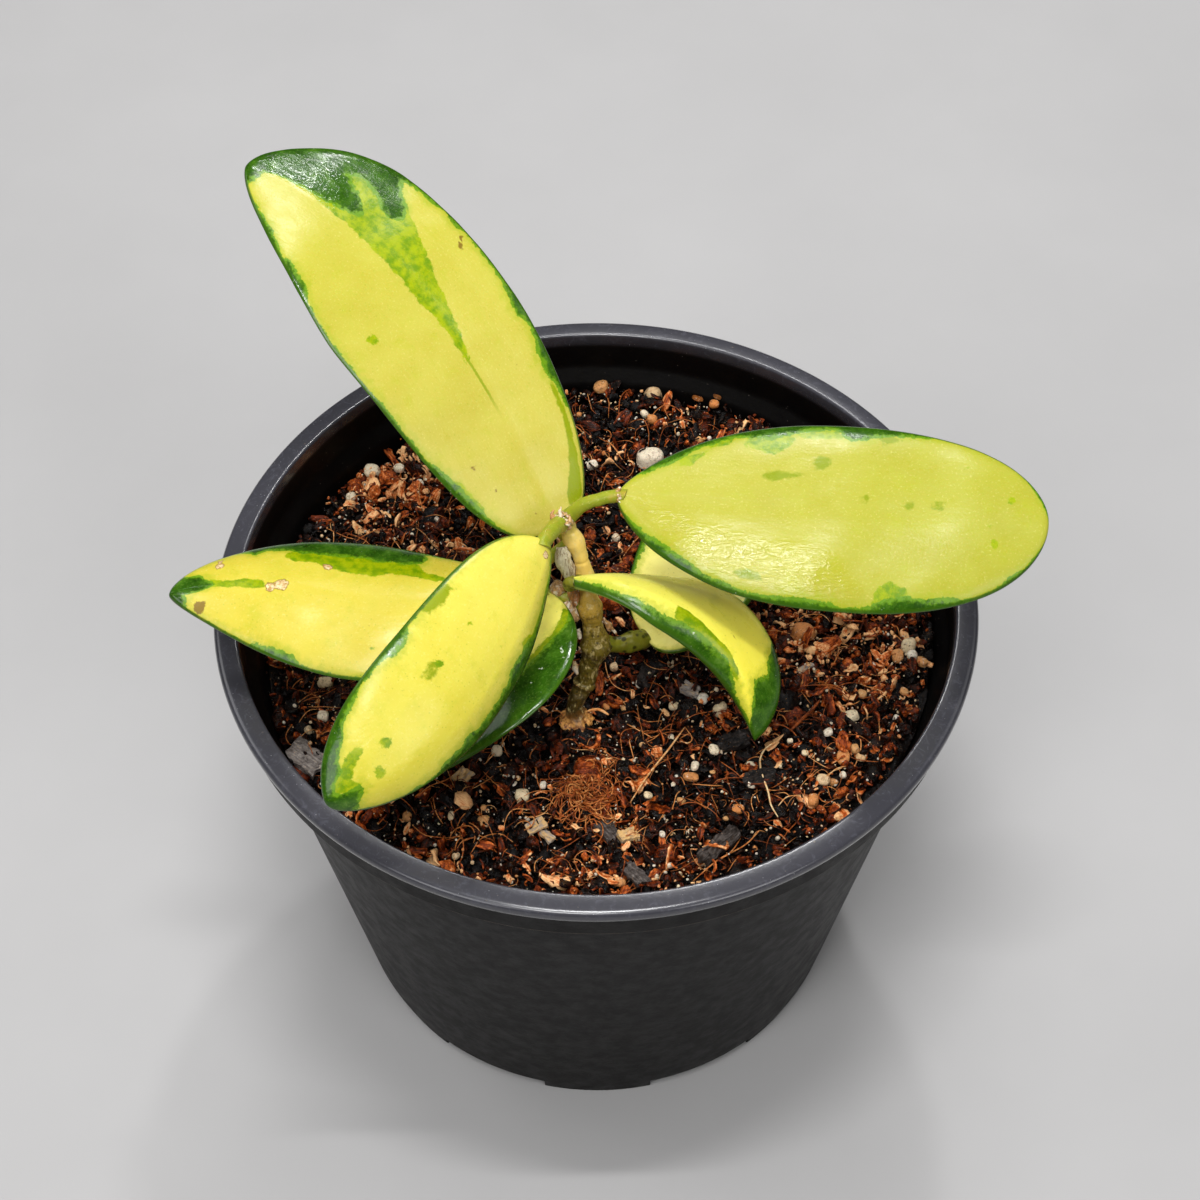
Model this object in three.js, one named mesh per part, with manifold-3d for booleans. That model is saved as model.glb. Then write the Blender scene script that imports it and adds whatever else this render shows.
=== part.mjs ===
// Potted hoya: a young cutting with seven thick variegated leaves in a round nursery pot of mix.
// Millimetres, +Z up, -Y towards the viewer. The origin is on the pot's axis, on its underside.
import * as THREE from 'three';
import { mergeVertices } from 'three/addons/utils/BufferGeometryUtils.js';
import Module from 'manifold-3d';

const wasm = await Module();
wasm.setup();

// ---------------------------------------------------------------- driving dimensions

const SEAT_GAP = 0.3; // clearance between two pieces that touch on the real plant

const POT_HEIGHT = 86;
const RIM_RADIUS = 60;
const RIM_INNER_RADIUS = 56;
const LIP_HEIGHT = 2.2; // the rounded lip at the very top
const LIP_ROUNDING = 0.7;
const EDGE_EASE = 0.3; // small bevel on the moulded edges
const COLLAR_RADIUS = 58.4;
const COLLAR_DROP = 7.6; // from the rim's top to the collar's lower edge
const BODY_TOP_RADIUS = 55.6;
const BASE_RADIUS = 42.1;
const WALL = 1.4;
const FLOOR = 2;
const FOOT_COUNT = 7;
const FOOT_HEIGHT = 3.6;
const FOOT_HALF_ANGLE = 12.5; // degrees
const FOOT_INSET = 0.4;
const SLOT_INNER_RADIUS = 37.5; // the drainage slots between the feet reach in to here
const POT_SIDES = 64;

const MIX_DEPTH = 9.6; // from the rim's top down to the mix, on average
const MIX_SIDES = 56;
const MIX_RINGS = 12;
const MIX_SLOPE = 0.022; // the surface climbs towards the right and the front
const HOLLOW = { x: -47, y: -6, depth: 5.5, spread: 90 }; // gap at the left wall
const CHIP_COUNT = 80;
const CHIP_REACH = 48; // chips lie within this radius
const CHIP_LENGTH = [2.6, 7]; // shortest and longest
const CHIP_SUNK = 0.35; // share of a chip's thickness that lies under the surface
const CHIP_STEM_CLEARANCE = 7.5; // no chip's middle is nearer to the stem

const STEM_FOOT = [-3, -19.3]; // where the stem leaves the mix
const STEM_BURIED = 25; // length of stem under the surface
const STEM_BURIED_RADIUS = 1.5;
const STEM_HOLE_RADIUS = 1.8;

const LEAF_THICKNESS = 1.7; // at the midrib
const MARGIN_THICKNESS = 0.8;
const BLADE_STATIONS = 16;
const BLADE_ACROSS = [-1, -0.8, -0.42, 0, 0.42, 0.8, 1]; // share of the half width
const MIDRIB_STEPS = 60;

// ---------------------------------------------------------------- helpers

const toRadians = THREE.MathUtils.degToRad;
const vector = (xyz) => new THREE.Vector3(...xyz);

function seededRandom(seed) {
  let state = seed;
  return () => {
    state = (state + 0x6d2b79f5) | 0;
    let t = Math.imul(state ^ (state >>> 15), 1 | state);
    t = (t + Math.imul(t ^ (t >>> 7), 61 | t)) ^ t;
    return ((t ^ (t >>> 14)) >>> 0) / 4294967296;
  };
}

// A closed solid from a geometry whose seams are merged.
function toSolid(geometry) {
  const bare = geometry.clone();
  bare.deleteAttribute('normal');
  bare.deleteAttribute('uv');
  const merged = mergeVertices(bare, 1e-4);
  const corners = merged.index.array;
  const kept = [];
  for (let i = 0; i < corners.length; i += 3) {
    const [a, b, c] = [corners[i], corners[i + 1], corners[i + 2]];
    if (a !== b && b !== c && c !== a) {
      kept.push(a, b, c);
    }
  }
  const mesh = new wasm.Mesh({
    numProp: 3,
    vertProperties: new Float32Array(merged.attributes.position.array),
    triVerts: new Uint32Array(kept),
  });
  return new wasm.Manifold(mesh);
}

function toGeometry(solid) {
  const { vertProperties, triVerts } = solid.getMesh();
  const geometry = new THREE.BufferGeometry();
  geometry.setAttribute('position', new THREE.BufferAttribute(vertProperties, 3));
  geometry.setIndex(new THREE.BufferAttribute(triVerts, 1));
  geometry.computeVertexNormals();
  return geometry;
}

const join = (solids) => solids.reduce((whole, piece) => whole.add(piece));

// A round bar along points.
function bar(points, radius, steps = 5, halfSides = 5) {
  const section = new THREE.Shape();
  section.absarc(0, 0, radius, 0, 2 * Math.PI);
  const path = new THREE.CatmullRomCurve3(points.map(vector));
  return toSolid(new THREE.ExtrudeGeometry(section, {
    steps,
    curveSegments: halfSides,
    bevelEnabled: false,
    extrudePath: path,
  }));
}

// A swelling, such as a node of the stem: a low-sided ball, flattened along Z.
function swelling(centre, radius, flatness = 1) {
  const ball = new THREE.IcosahedronGeometry(radius, 1);
  ball.scale(1, 1, flatness);
  ball.translate(...centre);
  return toSolid(ball);
}

function named(name, geometry, color, roughness) {
  const material = new THREE.MeshStandardMaterial({ color, roughness, metalness: 0 });
  const mesh = new THREE.Mesh(geometry, material);
  mesh.name = name;
  return mesh;
}

// ---------------------------------------------------------------- pot

const bodyRadius = (z) => {
  const top = POT_HEIGHT - COLLAR_DROP;
  return BASE_RADIUS + ((BODY_TOP_RADIUS - BASE_RADIUS) * z) / top;
};
const innerRadius = (z) => bodyRadius(z) - WALL;

function makePot() {
  const collarFoot = POT_HEIGHT - COLLAR_DROP;
  const lipFoot = POT_HEIGHT - LIP_HEIGHT;
  const profile = [
    [0, 0],
    [bodyRadius(0) - FOOT_INSET, 0],
    [bodyRadius(FOOT_HEIGHT) - FOOT_INSET, FOOT_HEIGHT - EDGE_EASE],
    [bodyRadius(FOOT_HEIGHT), FOOT_HEIGHT],
    [bodyRadius(collarFoot), collarFoot],
    [COLLAR_RADIUS, collarFoot + EDGE_EASE],
    [COLLAR_RADIUS + 0.2, lipFoot - EDGE_EASE],
    [RIM_RADIUS - LIP_ROUNDING, lipFoot],
    [RIM_RADIUS, lipFoot + LIP_ROUNDING],
    [RIM_RADIUS, POT_HEIGHT - LIP_ROUNDING],
    [RIM_RADIUS - LIP_ROUNDING, POT_HEIGHT],
    [RIM_INNER_RADIUS + LIP_ROUNDING, POT_HEIGHT],
    [RIM_INNER_RADIUS, POT_HEIGHT - LIP_ROUNDING],
    [RIM_INNER_RADIUS - EDGE_EASE, collarFoot + EDGE_EASE],
    [innerRadius(collarFoot - 2), collarFoot - 2],
    [innerRadius(FLOOR), FLOOR],
    [0, FLOOR],
  ];
  const turned = new THREE.LatheGeometry(profile.map(([r, z]) => new THREE.Vector2(r, z)), POT_SIDES);
  turned.rotateX(Math.PI / 2);
  let solid = toSolid(turned);

  // drainage slots between the feet; one foot faces the viewer
  const pitch = (2 * Math.PI) / FOOT_COUNT;
  const halfSlot = pitch / 2 - toRadians(FOOT_HALF_ANGLE);
  for (let i = 0; i < FOOT_COUNT; i++) {
    const middle = -Math.PI / 2 + (i + 0.5) * pitch;
    const sector = new THREE.Shape();
    sector.absarc(0, 0, BASE_RADIUS + 8, middle - halfSlot, middle + halfSlot, false);
    sector.absarc(0, 0, SLOT_INNER_RADIUS, middle + halfSlot, middle - halfSlot, true);
    const depth = FOOT_HEIGHT + 1;
    const slot = new THREE.ExtrudeGeometry(sector, { depth, bevelEnabled: false, curveSegments: 6 });
    slot.translate(0, 0, -1);
    solid = solid.subtract(toSolid(slot));
  }
  return named('pot', toGeometry(solid), 0x2a2826, 0.6);
}

// ---------------------------------------------------------------- potting mix

// Height of the mix: nearly level, lower at the left wall, lumpy, and flat round the stem.
function mixHeight(x, y) {
  const slope = MIX_SLOPE * (x - y);
  const hollow = -HOLLOW.depth * Math.exp(-((x - HOLLOW.x) ** 2 + (y - HOLLOW.y) ** 2) / HOLLOW.spread);
  const lumps = 0.55 * Math.sin(0.31 * x + 1.3) * Math.sin(0.27 * y + 0.4)
    + 0.35 * Math.sin(0.71 * x - 0.52 * y) + 0.3 * Math.sin(0.83 * y + 0.37 * x);
  const fromStem = Math.hypot(x - STEM_FOOT[0], y - STEM_FOOT[1]);
  const rough = THREE.MathUtils.smoothstep(fromStem, 3, 9);
  return POT_HEIGHT - MIX_DEPTH + slope + hollow + lumps * rough;
}

function makePottingMix() {
  const level = POT_HEIGHT - MIX_DEPTH;
  const bottom = FLOOR + SEAT_GAP;
  const brim = innerRadius(level) - SEAT_GAP;
  const profile = [[0, bottom], [innerRadius(bottom) - SEAT_GAP, bottom], [brim, level]];
  for (let i = MIX_RINGS - 1; i >= 0; i--) {
    profile.push([(brim * i) / MIX_RINGS, level]);
  }
  const turned = new THREE.LatheGeometry(profile.map(([r, z]) => new THREE.Vector2(r, z)), MIX_SIDES);
  turned.rotateX(Math.PI / 2);
  const position = turned.attributes.position;
  for (let i = 0; i < position.count; i++) {
    if (position.getZ(i) < level - 1e-3) {
      continue;
    }
    const z = mixHeight(position.getX(i), position.getY(i));
    // the brim follows the tapered wall as it dips
    const reach = (innerRadius(Math.min(z, level)) - SEAT_GAP) / brim;
    position.setXYZ(i, position.getX(i) * reach, position.getY(i) * reach, z);
  }
  let solid = toSolid(turned);

  // larger chips of coconut husk and bark, lying in the surface
  const random = seededRandom(11);
  const between = (low, high) => low + (high - low) * random();
  const chips = [];
  while (chips.length < CHIP_COUNT) {
    const radius = CHIP_REACH * Math.sqrt(random());
    const angle = between(0, 2 * Math.PI);
    const x = radius * Math.cos(angle);
    const y = radius * Math.sin(angle);
    const length = between(...CHIP_LENGTH);
    const thickness = length * between(0.2, 0.34);
    const chip = new THREE.BoxGeometry(length, length * between(0.3, 0.62), thickness);
    chip.rotateX(between(-0.35, 0.35));
    chip.rotateY(between(-0.3, 0.3));
    chip.rotateZ(between(0, Math.PI));
    chip.translate(x, y, mixHeight(x, y) + thickness * (0.5 - CHIP_SUNK));
    if (Math.hypot(x - STEM_FOOT[0], y - STEM_FOOT[1]) > CHIP_STEM_CLEARANCE) {
      chips.push(toSolid(chip));
    }
  }
  solid = join([solid, ...chips]);

  // the plain hole that the stem stands in
  const holeDepth = STEM_BURIED + SEAT_GAP;
  const hole = new THREE.CylinderGeometry(STEM_HOLE_RADIUS, STEM_HOLE_RADIUS, holeDepth + 10, 20);
  hole.rotateX(Math.PI / 2);
  hole.translate(...STEM_FOOT, mixHeight(...STEM_FOOT) - holeDepth / 2 + 5);
  return named('potting_mix', toGeometry(solid.subtract(toSolid(hole))), 0x4a2a1a, 0.95);
}

// ---------------------------------------------------------------- stem

const STEM_TOP_OF_MIX = mixHeight(...STEM_FOOT);

// The stem's nodes, from the lowest up. Leaves sit on them in the order below.
const NODES = {
  low: { centre: [-0.1, -15, 90.8], radius: 2.1 },
  under: { centre: [-0.9, -12.9, 97.2], radius: 1.95 },
  middle: { centre: [-1.6, -11.2, 102.4], radius: 1.7 },
  upper: { centre: [-3.3, -9.1, 108.3], radius: 2 },
  top: { centre: [-4.6, -8, 111.6], radius: 1.8 },
};

function makeStem() {
  const [footX, footY] = STEM_FOOT;
  const { low, under, middle, upper, top } = NODES;
  const ring = [-1.8, -17.1, 84.1]; // old leaf scar
  const solid = join([
    bar([[footX, footY, STEM_TOP_OF_MIX - STEM_BURIED], [footX, footY, STEM_TOP_OF_MIX + 1.5]],
      STEM_BURIED_RADIUS, 1, 6),
    swelling([footX, footY, STEM_TOP_OF_MIX + 2.1], 2.2, 0.8), // callus
    bar([[footX, footY, STEM_TOP_OF_MIX + 1], [-3.2, -18.3, 80.6], ring], 1.25, 4),
    swelling(ring, 1.7, 0.6),
    bar([ring, [-1, -16.1, 87.3], low.centre], 1.5, 3),
    swelling(low.centre, low.radius, 0.9),
    bar([low.centre, under.centre, middle.centre], 1.45, 4),
    swelling(under.centre, under.radius),
    swelling(middle.centre, middle.radius),
    bar([middle.centre, [-2.4, -10, 106], upper.centre], 1.3, 3),
    swelling(upper.centre, upper.radius),
    bar([upper.centre, top.centre], 1.35, 1),
    swelling(top.centre, top.radius),
    bar([top.centre, [-5.7, -7.6, 113.8]], 0.8, 1, 4), // dried growing tip
    swelling([-2.6, -13.2, 100.4], 1, 1.5), // dried scale under the curled leaf
  ]);
  return named('stem', toGeometry(solid), 0x8a7432, 0.6);
}

// ---------------------------------------------------------------- leaves

// base: where the blade starts. heading: direction in plan there, 0 away from the viewer and
// 90 to the right. turn: change of heading to the tip, and bow: how much of it comes early.
// rise: slope at the base, droop: how far the slope falls to the tip. roll: right edge raised,
// twist: change of roll to the tip. fold: both edges raised. widths: left and right half, seen
// from the base. widest: where along the leaf each half is widest. round: bluntness of the base
// and the tip, less is blunter. full: fullness of the outline. Degrees and millimetres.
const LEAVES = [
  {
    name: 'leaf_back', node: 'upper', petiole: 1.2, base: [-5.5, -6, 107.5],
    heading: -33, turn: -37, bow: -15, rise: 44, droop: 34, roll: 6, twist: -6, fold: 4,
    length: 73.5, widths: [17, 13], widest: [0.55, 0.75], round: [0.35, 0.65], full: 1.7,
  },
  {
    name: 'leaf_right', node: 'top', petiole: 1.05, base: [3, -8, 117], via: [-1.6, -8, 115.2],
    heading: 103, turn: -6, bow: 14, rise: 3, droop: 7, roll: -13, twist: -8, fold: -3,
    length: 62.5, widths: [14.5, 15], widest: [0.5, 0.55], round: [0.7, 0.5], full: 2.3,
  },
  {
    name: 'leaf_left', node: 'upper', petiole: 0.95, base: [-13.5, -11.5, 103], via: [-8, -10.7, 105.2],
    heading: -124, turn: 13, bow: -68, rise: 4, droop: 7, roll: 2, twist: 4, fold: -14,
    length: 50.5, widths: [13.5, 11.5], widest: [0.4, 0.45], round: [0.55, 0.7], full: 1.8,
  },
  {
    name: 'leaf_front', node: 'top', petiole: 1.3, base: [-7.5, -15, 115], via: [-6, -11.5, 113.9],
    heading: -165.5, turn: 67.5, bow: 29, rise: -8.5, droop: 5.5, roll: 43.5, twist: 11.5, fold: -13,
    length: 52.5, widths: [5.8, 13.6], widest: [0.5, 0.56], round: [0.45, 0.45], full: 2.05,
  },
  {
    name: 'leaf_under_front', node: 'under', petiole: 1, base: [-6.8, -11.2, 98.4],
    heading: -139, turn: -18.5, bow: -27.5, rise: -7, droop: 22, roll: -2.5, twist: -12.5, fold: 8.5,
    length: 40, widths: [14.6, 14.4], widest: [0.38, 0.3], round: [0.5, 0.8], full: 1.95,
  },
  {
    name: 'leaf_curled', node: 'middle', petiole: 0.9, base: [-4, -15.5, 106.3], via: [-3.7, -14.6, 104.3],
    heading: 94.5, turn: 74, bow: 16.5, rise: 18, droop: 90.5, roll: 32.5, twist: -52.5, fold: -22,
    length: 42, widths: [12.8, 4.8], widest: [0.43, 0.37], round: [0.75, 0.75], full: 1.4,
  },
  {
    name: 'leaf_under_right', node: 'low', petiole: 1.45, base: [7.5, -12, 88.6], via: [4.2, -13.7, 89.6],
    heading: 61, turn: -43, bow: 41, rise: 14, droop: 22, roll: 2, twist: 3, fold: 6,
    length: 37.5, widths: [11.5, 9.5], widest: [0.5, 0.55], round: [0.3, 0.55], full: 2,
  },
];

// The midrib and the blade's frame at evenly spaced steps from base to tip.
function followMidrib(leaf) {
  const place = vector(leaf.base);
  const frames = [];
  let before = null;
  for (let i = 0; i < MIDRIB_STEPS; i++) {
    const s = i / (MIDRIB_STEPS - 1);
    const heading = toRadians(leaf.heading + leaf.turn * s + 2 * leaf.bow * s * (s - 1));
    const slope = toRadians(leaf.rise - leaf.droop * s);
    const roll = toRadians(leaf.roll + leaf.twist * s);
    const along = new THREE.Vector3(
      Math.sin(heading) * Math.cos(slope),
      Math.cos(heading) * Math.cos(slope),
      Math.sin(slope),
    );
    const level = new THREE.Vector3(Math.cos(heading), -Math.sin(heading), 0);
    const right = level.clone().applyAxisAngle(along, -roll);
    const up = right.clone().cross(along);
    if (before) {
      const middle = before.clone().add(along).divideScalar(2);
      place.addScaledVector(middle, leaf.length / (MIDRIB_STEPS - 1));
    }
    frames.push({ place: place.clone(), right, up });
    before = along;
  }
  return frames;
}

// Half width at s, from 0 at the ends to 1 where that half is widest.
function outline(leaf, s, side) {
  const widest = leaf.widest[side];
  const [toEdge, bluntness] = s < widest
    ? [(widest - s) / widest, leaf.round[0]]
    : [(s - widest) / (1 - widest), leaf.round[1]];
  return leaf.widths[side] * (1 - toEdge ** leaf.full) ** bluntness;
}

// One closed ring of the blade: its upper side from left to right, then its underside back.
function bladeRing(leaf, frames, s) {
  const at = s * (MIDRIB_STEPS - 1);
  const first = frames[Math.floor(at)];
  const next = frames[Math.min(Math.floor(at) + 1, MIDRIB_STEPS - 1)];
  const part = at - Math.floor(at);
  const place = first.place.clone().lerp(next.place, part);
  const right = first.right.clone().lerp(next.right, part).normalize();
  const up = first.up.clone().lerp(next.up, part).normalize();
  const fold = toRadians(leaf.fold);
  const upper = [];
  const lower = [];
  for (const across of BLADE_ACROSS) {
    const share = Math.abs(across);
    const half = outline(leaf, s, across < 0 ? 0 : 1);
    const lift = half * Math.sin(fold) * (0.5 * share + 0.5 * share ** 2);
    const middle = place.clone()
      .addScaledVector(right, half * across * Math.cos(fold))
      .addScaledVector(up, lift);
    const thickness = MARGIN_THICKNESS + (LEAF_THICKNESS - MARGIN_THICKNESS) * (1 - share ** 2);
    upper.push(middle.clone().addScaledVector(up, thickness / 2));
    lower.unshift(middle.clone().addScaledVector(up, -thickness / 2));
  }
  return [...upper, ...lower];
}

// A closed skin over rings of equal length. Every band is split the same way on both faces.
function skin(rings) {
  const around = rings[0].length;
  const rows = around / 2;
  const corners = [];
  for (let i = 0; i < rings.length - 1; i++) {
    for (let j = 0; j < around; j++) {
      const k = (j + 1) % around;
      const [a, b, c, d] = [i * around + j, i * around + k, (i + 1) * around + k, (i + 1) * around + j];
      corners.push(...(j < rows ? [a, b, c, a, c, d] : [a, b, d, b, c, d]));
    }
  }
  const last = (rings.length - 1) * around;
  for (let j = 0; j < rows - 1; j++) {
    const [a, b, c, d] = [j, j + 1, around - 2 - j, around - 1 - j];
    corners.push(a, c, b, a, d, c);
    corners.push(last + a, last + b, last + c, last + a, last + c, last + d);
  }
  const geometry = new THREE.BufferGeometry();
  geometry.setAttribute('position', new THREE.Float32BufferAttribute(
    rings.flat().flatMap((point) => point.toArray()), 3));
  geometry.setIndex(corners);
  return geometry;
}

function makeLeaf(leaf) {
  const frames = followMidrib(leaf);
  const rings = [];
  for (let i = 1; i < BLADE_STATIONS; i++) {
    rings.push(bladeRing(leaf, frames, (1 - Math.cos((Math.PI * i) / BLADE_STATIONS)) / 2));
  }
  // the petiole starts on the stem's node and ends inside the blade
  const { centre, radius } = NODES[leaf.node];
  const end = frames[2].place.toArray();
  const via = leaf.via ?? leaf.base;
  const toward = vector(via).sub(vector(centre)).normalize();
  const start = vector(centre).addScaledVector(toward, radius + SEAT_GAP).toArray();
  const solid = toSolid(skin(rings)).add(bar([start, via, end], leaf.petiole, 4, 4));
  return named(leaf.name, toGeometry(solid), 0xd8d84a, 0.35);
}

// ---------------------------------------------------------------- assembly

const plant = new THREE.Group();
plant.name = 'potted_hoya';
plant.add(makePot(), makePottingMix(), makeStem(), ...LEAVES.map(makeLeaf));

export default plant;
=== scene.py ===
import math

import bmesh
import bpy
import numpy as np
from mathutils import Euler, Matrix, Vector


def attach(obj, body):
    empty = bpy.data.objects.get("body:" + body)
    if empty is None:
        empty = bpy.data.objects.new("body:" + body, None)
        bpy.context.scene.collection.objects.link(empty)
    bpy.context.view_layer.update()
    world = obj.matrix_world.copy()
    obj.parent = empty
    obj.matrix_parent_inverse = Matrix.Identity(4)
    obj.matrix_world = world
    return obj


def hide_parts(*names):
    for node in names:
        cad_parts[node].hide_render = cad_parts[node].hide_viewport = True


# A young variegated hoya in a black nursery pot. Lengths below are in millimetres, as on the real
# plant, and become metres when a mesh is made. +Z is up and -Y is towards the viewer.
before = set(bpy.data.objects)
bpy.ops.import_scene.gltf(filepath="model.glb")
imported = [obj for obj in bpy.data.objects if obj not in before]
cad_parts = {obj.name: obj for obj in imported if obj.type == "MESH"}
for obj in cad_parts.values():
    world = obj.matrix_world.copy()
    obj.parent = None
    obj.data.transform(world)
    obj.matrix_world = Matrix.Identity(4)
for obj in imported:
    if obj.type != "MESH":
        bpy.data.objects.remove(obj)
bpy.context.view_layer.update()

MM = 0.001

# ---------------------------------------------------------------- camera, light and floor

CAMERA_PLACE = (0.3, -248.7, 388.8)
CAMERA_EULER = (39.14, 0.05, -0.13)  # degrees: tilt from straight down, roll and turn
LENS = 75
SENSOR = 36
PHOTO_SIDE = 1200  # pixels


def make_camera():
    data = bpy.data.cameras.new("camera")
    data.lens = LENS
    data.sensor_width = SENSOR
    data.clip_start = 0.01
    camera = bpy.data.objects.new("camera", data)
    camera.location = Vector(CAMERA_PLACE) * MM
    camera.rotation_euler = [math.radians(a) for a in CAMERA_EULER]
    bpy.context.scene.collection.objects.link(camera)
    bpy.context.scene.camera = camera


LIGHT_AIM = (0, 0, 60)


def place_light(data, place, power, glare=True):
    data.energy = power
    light = bpy.data.objects.new(data.name, data)
    light.location = Vector(place) * MM
    light.rotation_euler = (Vector(LIGHT_AIM) - Vector(place)).to_track_quat("-Z", "Y").to_euler()
    light.visible_glossy = glare
    bpy.context.scene.collection.objects.link(light)


# broad lights, so far off that they light the whole floor alike: (name, where they come from, width
# in degrees, W/m2, glare). The overhead one is as if polarised, so that it veils nothing.
BROAD_LIGHTS = [
    ("overhead", (-60, 40, 760), 40, 1.04, False),
    ("back_left", (-480, 260, 520), 26, 0.38, True),
    ("back_right", (480, 260, 520), 26, 0.12, True),
    ("front_left", (-380, -480, 520), 26, 0.68, True),
    ("front_right", (380, -480, 520), 26, 0.74, True),
]
# oval softboxes near the plant, for its highlights: (name, place, size, power in watts)
SOFTBOXES = [
    ("key", (2, -78, 760), (212, 15), 2.0),
    ("front_key", (-60, -330, 680), (220, 200), 1.7),
    ("tip_key", (75, 425, 760), (46, 46), 1.2),
    ("lip_glow", (-20, 372, 760), (360, 24), 0.35),
    ("rim", (70, 652, 760), (230, 36), 1.15),
]
BACKDROP = 0.5  # brightness of the backdrop, which only the camera sees


def make_studio():
    # a plain transform, because the default one can't show the leaves' strong yellow
    bpy.context.scene.view_settings.view_transform = "Standard"
    world = bpy.data.worlds.new("studio")
    world.use_nodes = True
    background = world.node_tree.nodes["Background"]
    background.inputs["Color"].default_value = (1, 1, 1, 1)
    background.inputs["Strength"].default_value = BACKDROP
    bpy.context.scene.world = world
    for ray in ("diffuse", "glossy", "transmission"):
        setattr(world.cycles_visibility, ray, False)
    for name, place, width, power, glare in BROAD_LIGHTS:
        data = bpy.data.lights.new(name, "SUN")
        data.angle = math.radians(width)
        place_light(data, place, power, glare)
    for name, place, size, power in SOFTBOXES:
        data = bpy.data.lights.new(name, "AREA")
        data.shape = "ELLIPSE"
        data.size, data.size_y = [side * MM for side in size]
        place_light(data, place, power)


# ---------------------------------------------------------------- materials

class Field:
    """A value, place or colour that varies over a surface. Arithmetic on it makes Math nodes."""

    def __init__(self, shading, socket):
        self.shading = shading
        self.socket = socket

    def __add__(self, other):
        return self.shading.math("ADD", self, other)

    def __sub__(self, other):
        return self.shading.math("SUBTRACT", self, other)

    def __rsub__(self, other):
        return self.shading.math("SUBTRACT", other, self)

    def __mul__(self, other):
        return self.shading.math("MULTIPLY", self, other)

    __radd__, __rmul__ = __add__, __mul__


class Shading:
    """A node material under construction. Places are in millimetres in the part's frame."""

    def __init__(self, name):
        self.material = bpy.data.materials.new(name)
        self.material.use_nodes = True
        self.tree = self.material.node_tree
        self.shader = self.tree.nodes["Principled BSDF"]
        self.where = self.vector_math("SCALE", self.node("TexCoord", {}, "Object"), 1000)

    def put(self, socket, value):
        """Links a socket to a field, or sets it to a colour code or a constant."""
        if isinstance(value, Field):
            self.tree.links.new(value.socket, socket)
        elif isinstance(value, str):
            socket.default_value = colour(value)
        else:
            socket.default_value = value

    def node(self, kind, inputs, output=0, **settings):
        """One output of a new node. inputs are keyed by the names or numbers of its sockets."""
        node = self.tree.nodes.new("ShaderNode" + kind)
        for key, value in settings.items():
            setattr(node, key, value)
        for key, value in inputs.items():
            self.put(node.inputs[key], value)
        return Field(self, node.outputs[output])

    def vector_math(self, operation, a, b):
        second = "Scale" if operation == "SCALE" else 1
        return self.node("VectorMath", {0: a, second: b}, operation=operation)

    def math(self, operation, a, b=0.0):
        return self.node("Math", {0: a, 1: b}, operation=operation)

    def noise(self, size, detail=3.0, roughness=0.55, where=None, stretch=None, warp=0.0):
        """Soft noise from 0 to 1 whose features are about size millimetres."""
        place = where or self.where
        if stretch:
            place = self.vector_math("MULTIPLY", place, stretch)
        return self.node("TexNoise", {"Vector": place, "Scale": 1 / size, "Detail": detail,
                                      "Roughness": roughness, "Distortion": warp}, "Fac")

    def cells(self, size, where=None):
        """Distance to the nearest of scattered points, in units of size."""
        return self.node("TexVoronoi", {"Vector": where or self.where, "Scale": 1 / size},
                         "Distance")

    def ramp(self, value, low, high, start=0.0, end=1.0):
        """From start to end in a smooth step, as value goes from low to high."""
        return self.node("MapRange", dict(enumerate((value, low, high, start, end))),
                         interpolation_type="SMOOTHSTEP")

    def mix(self, share, a, b, blend="MIX"):
        return self.node("Mix", {0: share, 6: a, 7: b}, 2, data_type="RGBA", blend_type=blend)

    def gradient(self, value, *stops):
        """The colour for a value, from stops of a value and a colour code."""
        tone = self.node("ValToRGB", {0: value})
        elements = tone.socket.node.color_ramp.elements
        while len(elements) < len(stops):
            elements.new(0.5)
        for element, (place, code) in zip(elements, stops):
            element.position = place
            element.color = colour(code)
        return tone

    def attribute(self, name, output="Fac"):
        return self.node("Attribute", {}, output, attribute_name=name)

    def bump(self, height, depth, under=None):
        """Relief of the given depth in millimetres, on top of any relief under it."""
        inputs = {"Height": height, "Distance": depth * MM, "Strength": 1.0}
        if under:
            inputs["Normal"] = under
        return self.node("Bump", inputs)

    def finish(self, **values):
        names = {
            "color": "Base Color", "roughness": "Roughness", "normal": "Normal",
            "specular": "Specular IOR Level", "coat": "Coat Weight",
            "coat_roughness": "Coat Roughness", "subsurface": "Subsurface Weight",
            "subsurface_scale": "Subsurface Scale",
        }
        for key, value in values.items():
            self.put(self.shader.inputs[names[key]], value)
        return self.material


def colour(code):
    """Scene-linear RGBA of a #rrggbb code."""
    parts = [int(code[i:i + 2], 16) / 255 for i in (1, 3, 5)]
    return [c / 12.92 if c <= 0.04045 else ((c + 0.055) / 1.055) ** 2.4 for c in parts] + [1]


# ---------------------------------------------------------------- mesh helpers

def make_mesh(name, points, faces, material, smooth=True, **attributes):
    """A mesh object from points in millimetres. Each attribute has a number or vector per point."""
    if isinstance(faces, np.ndarray):
        faces = faces.tolist()
    mesh = bpy.data.meshes.new(name)
    mesh.from_pydata(np.asarray(points) * MM, [], faces)
    mesh.polygons.foreach_set("use_smooth", [smooth] * len(mesh.polygons))
    for key, values in attributes.items():
        values = np.asarray(values, np.float32)
        kind, field = ("FLOAT", "value") if values.ndim == 1 else ("FLOAT_VECTOR", "vector")
        mesh.attributes.new(key, kind, "POINT").data.foreach_set(field, values.ravel())
    mesh.materials.append(material)
    mesh.update()
    piece = bpy.data.objects.new(name, mesh)
    bpy.context.scene.collection.objects.link(piece)
    return piece


def settle(piece, slot, *nodes):
    """The piece belongs to the part, and stands for these nodes of the frame."""
    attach(piece, "root")
    if nodes:
        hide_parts(*nodes)


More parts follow.
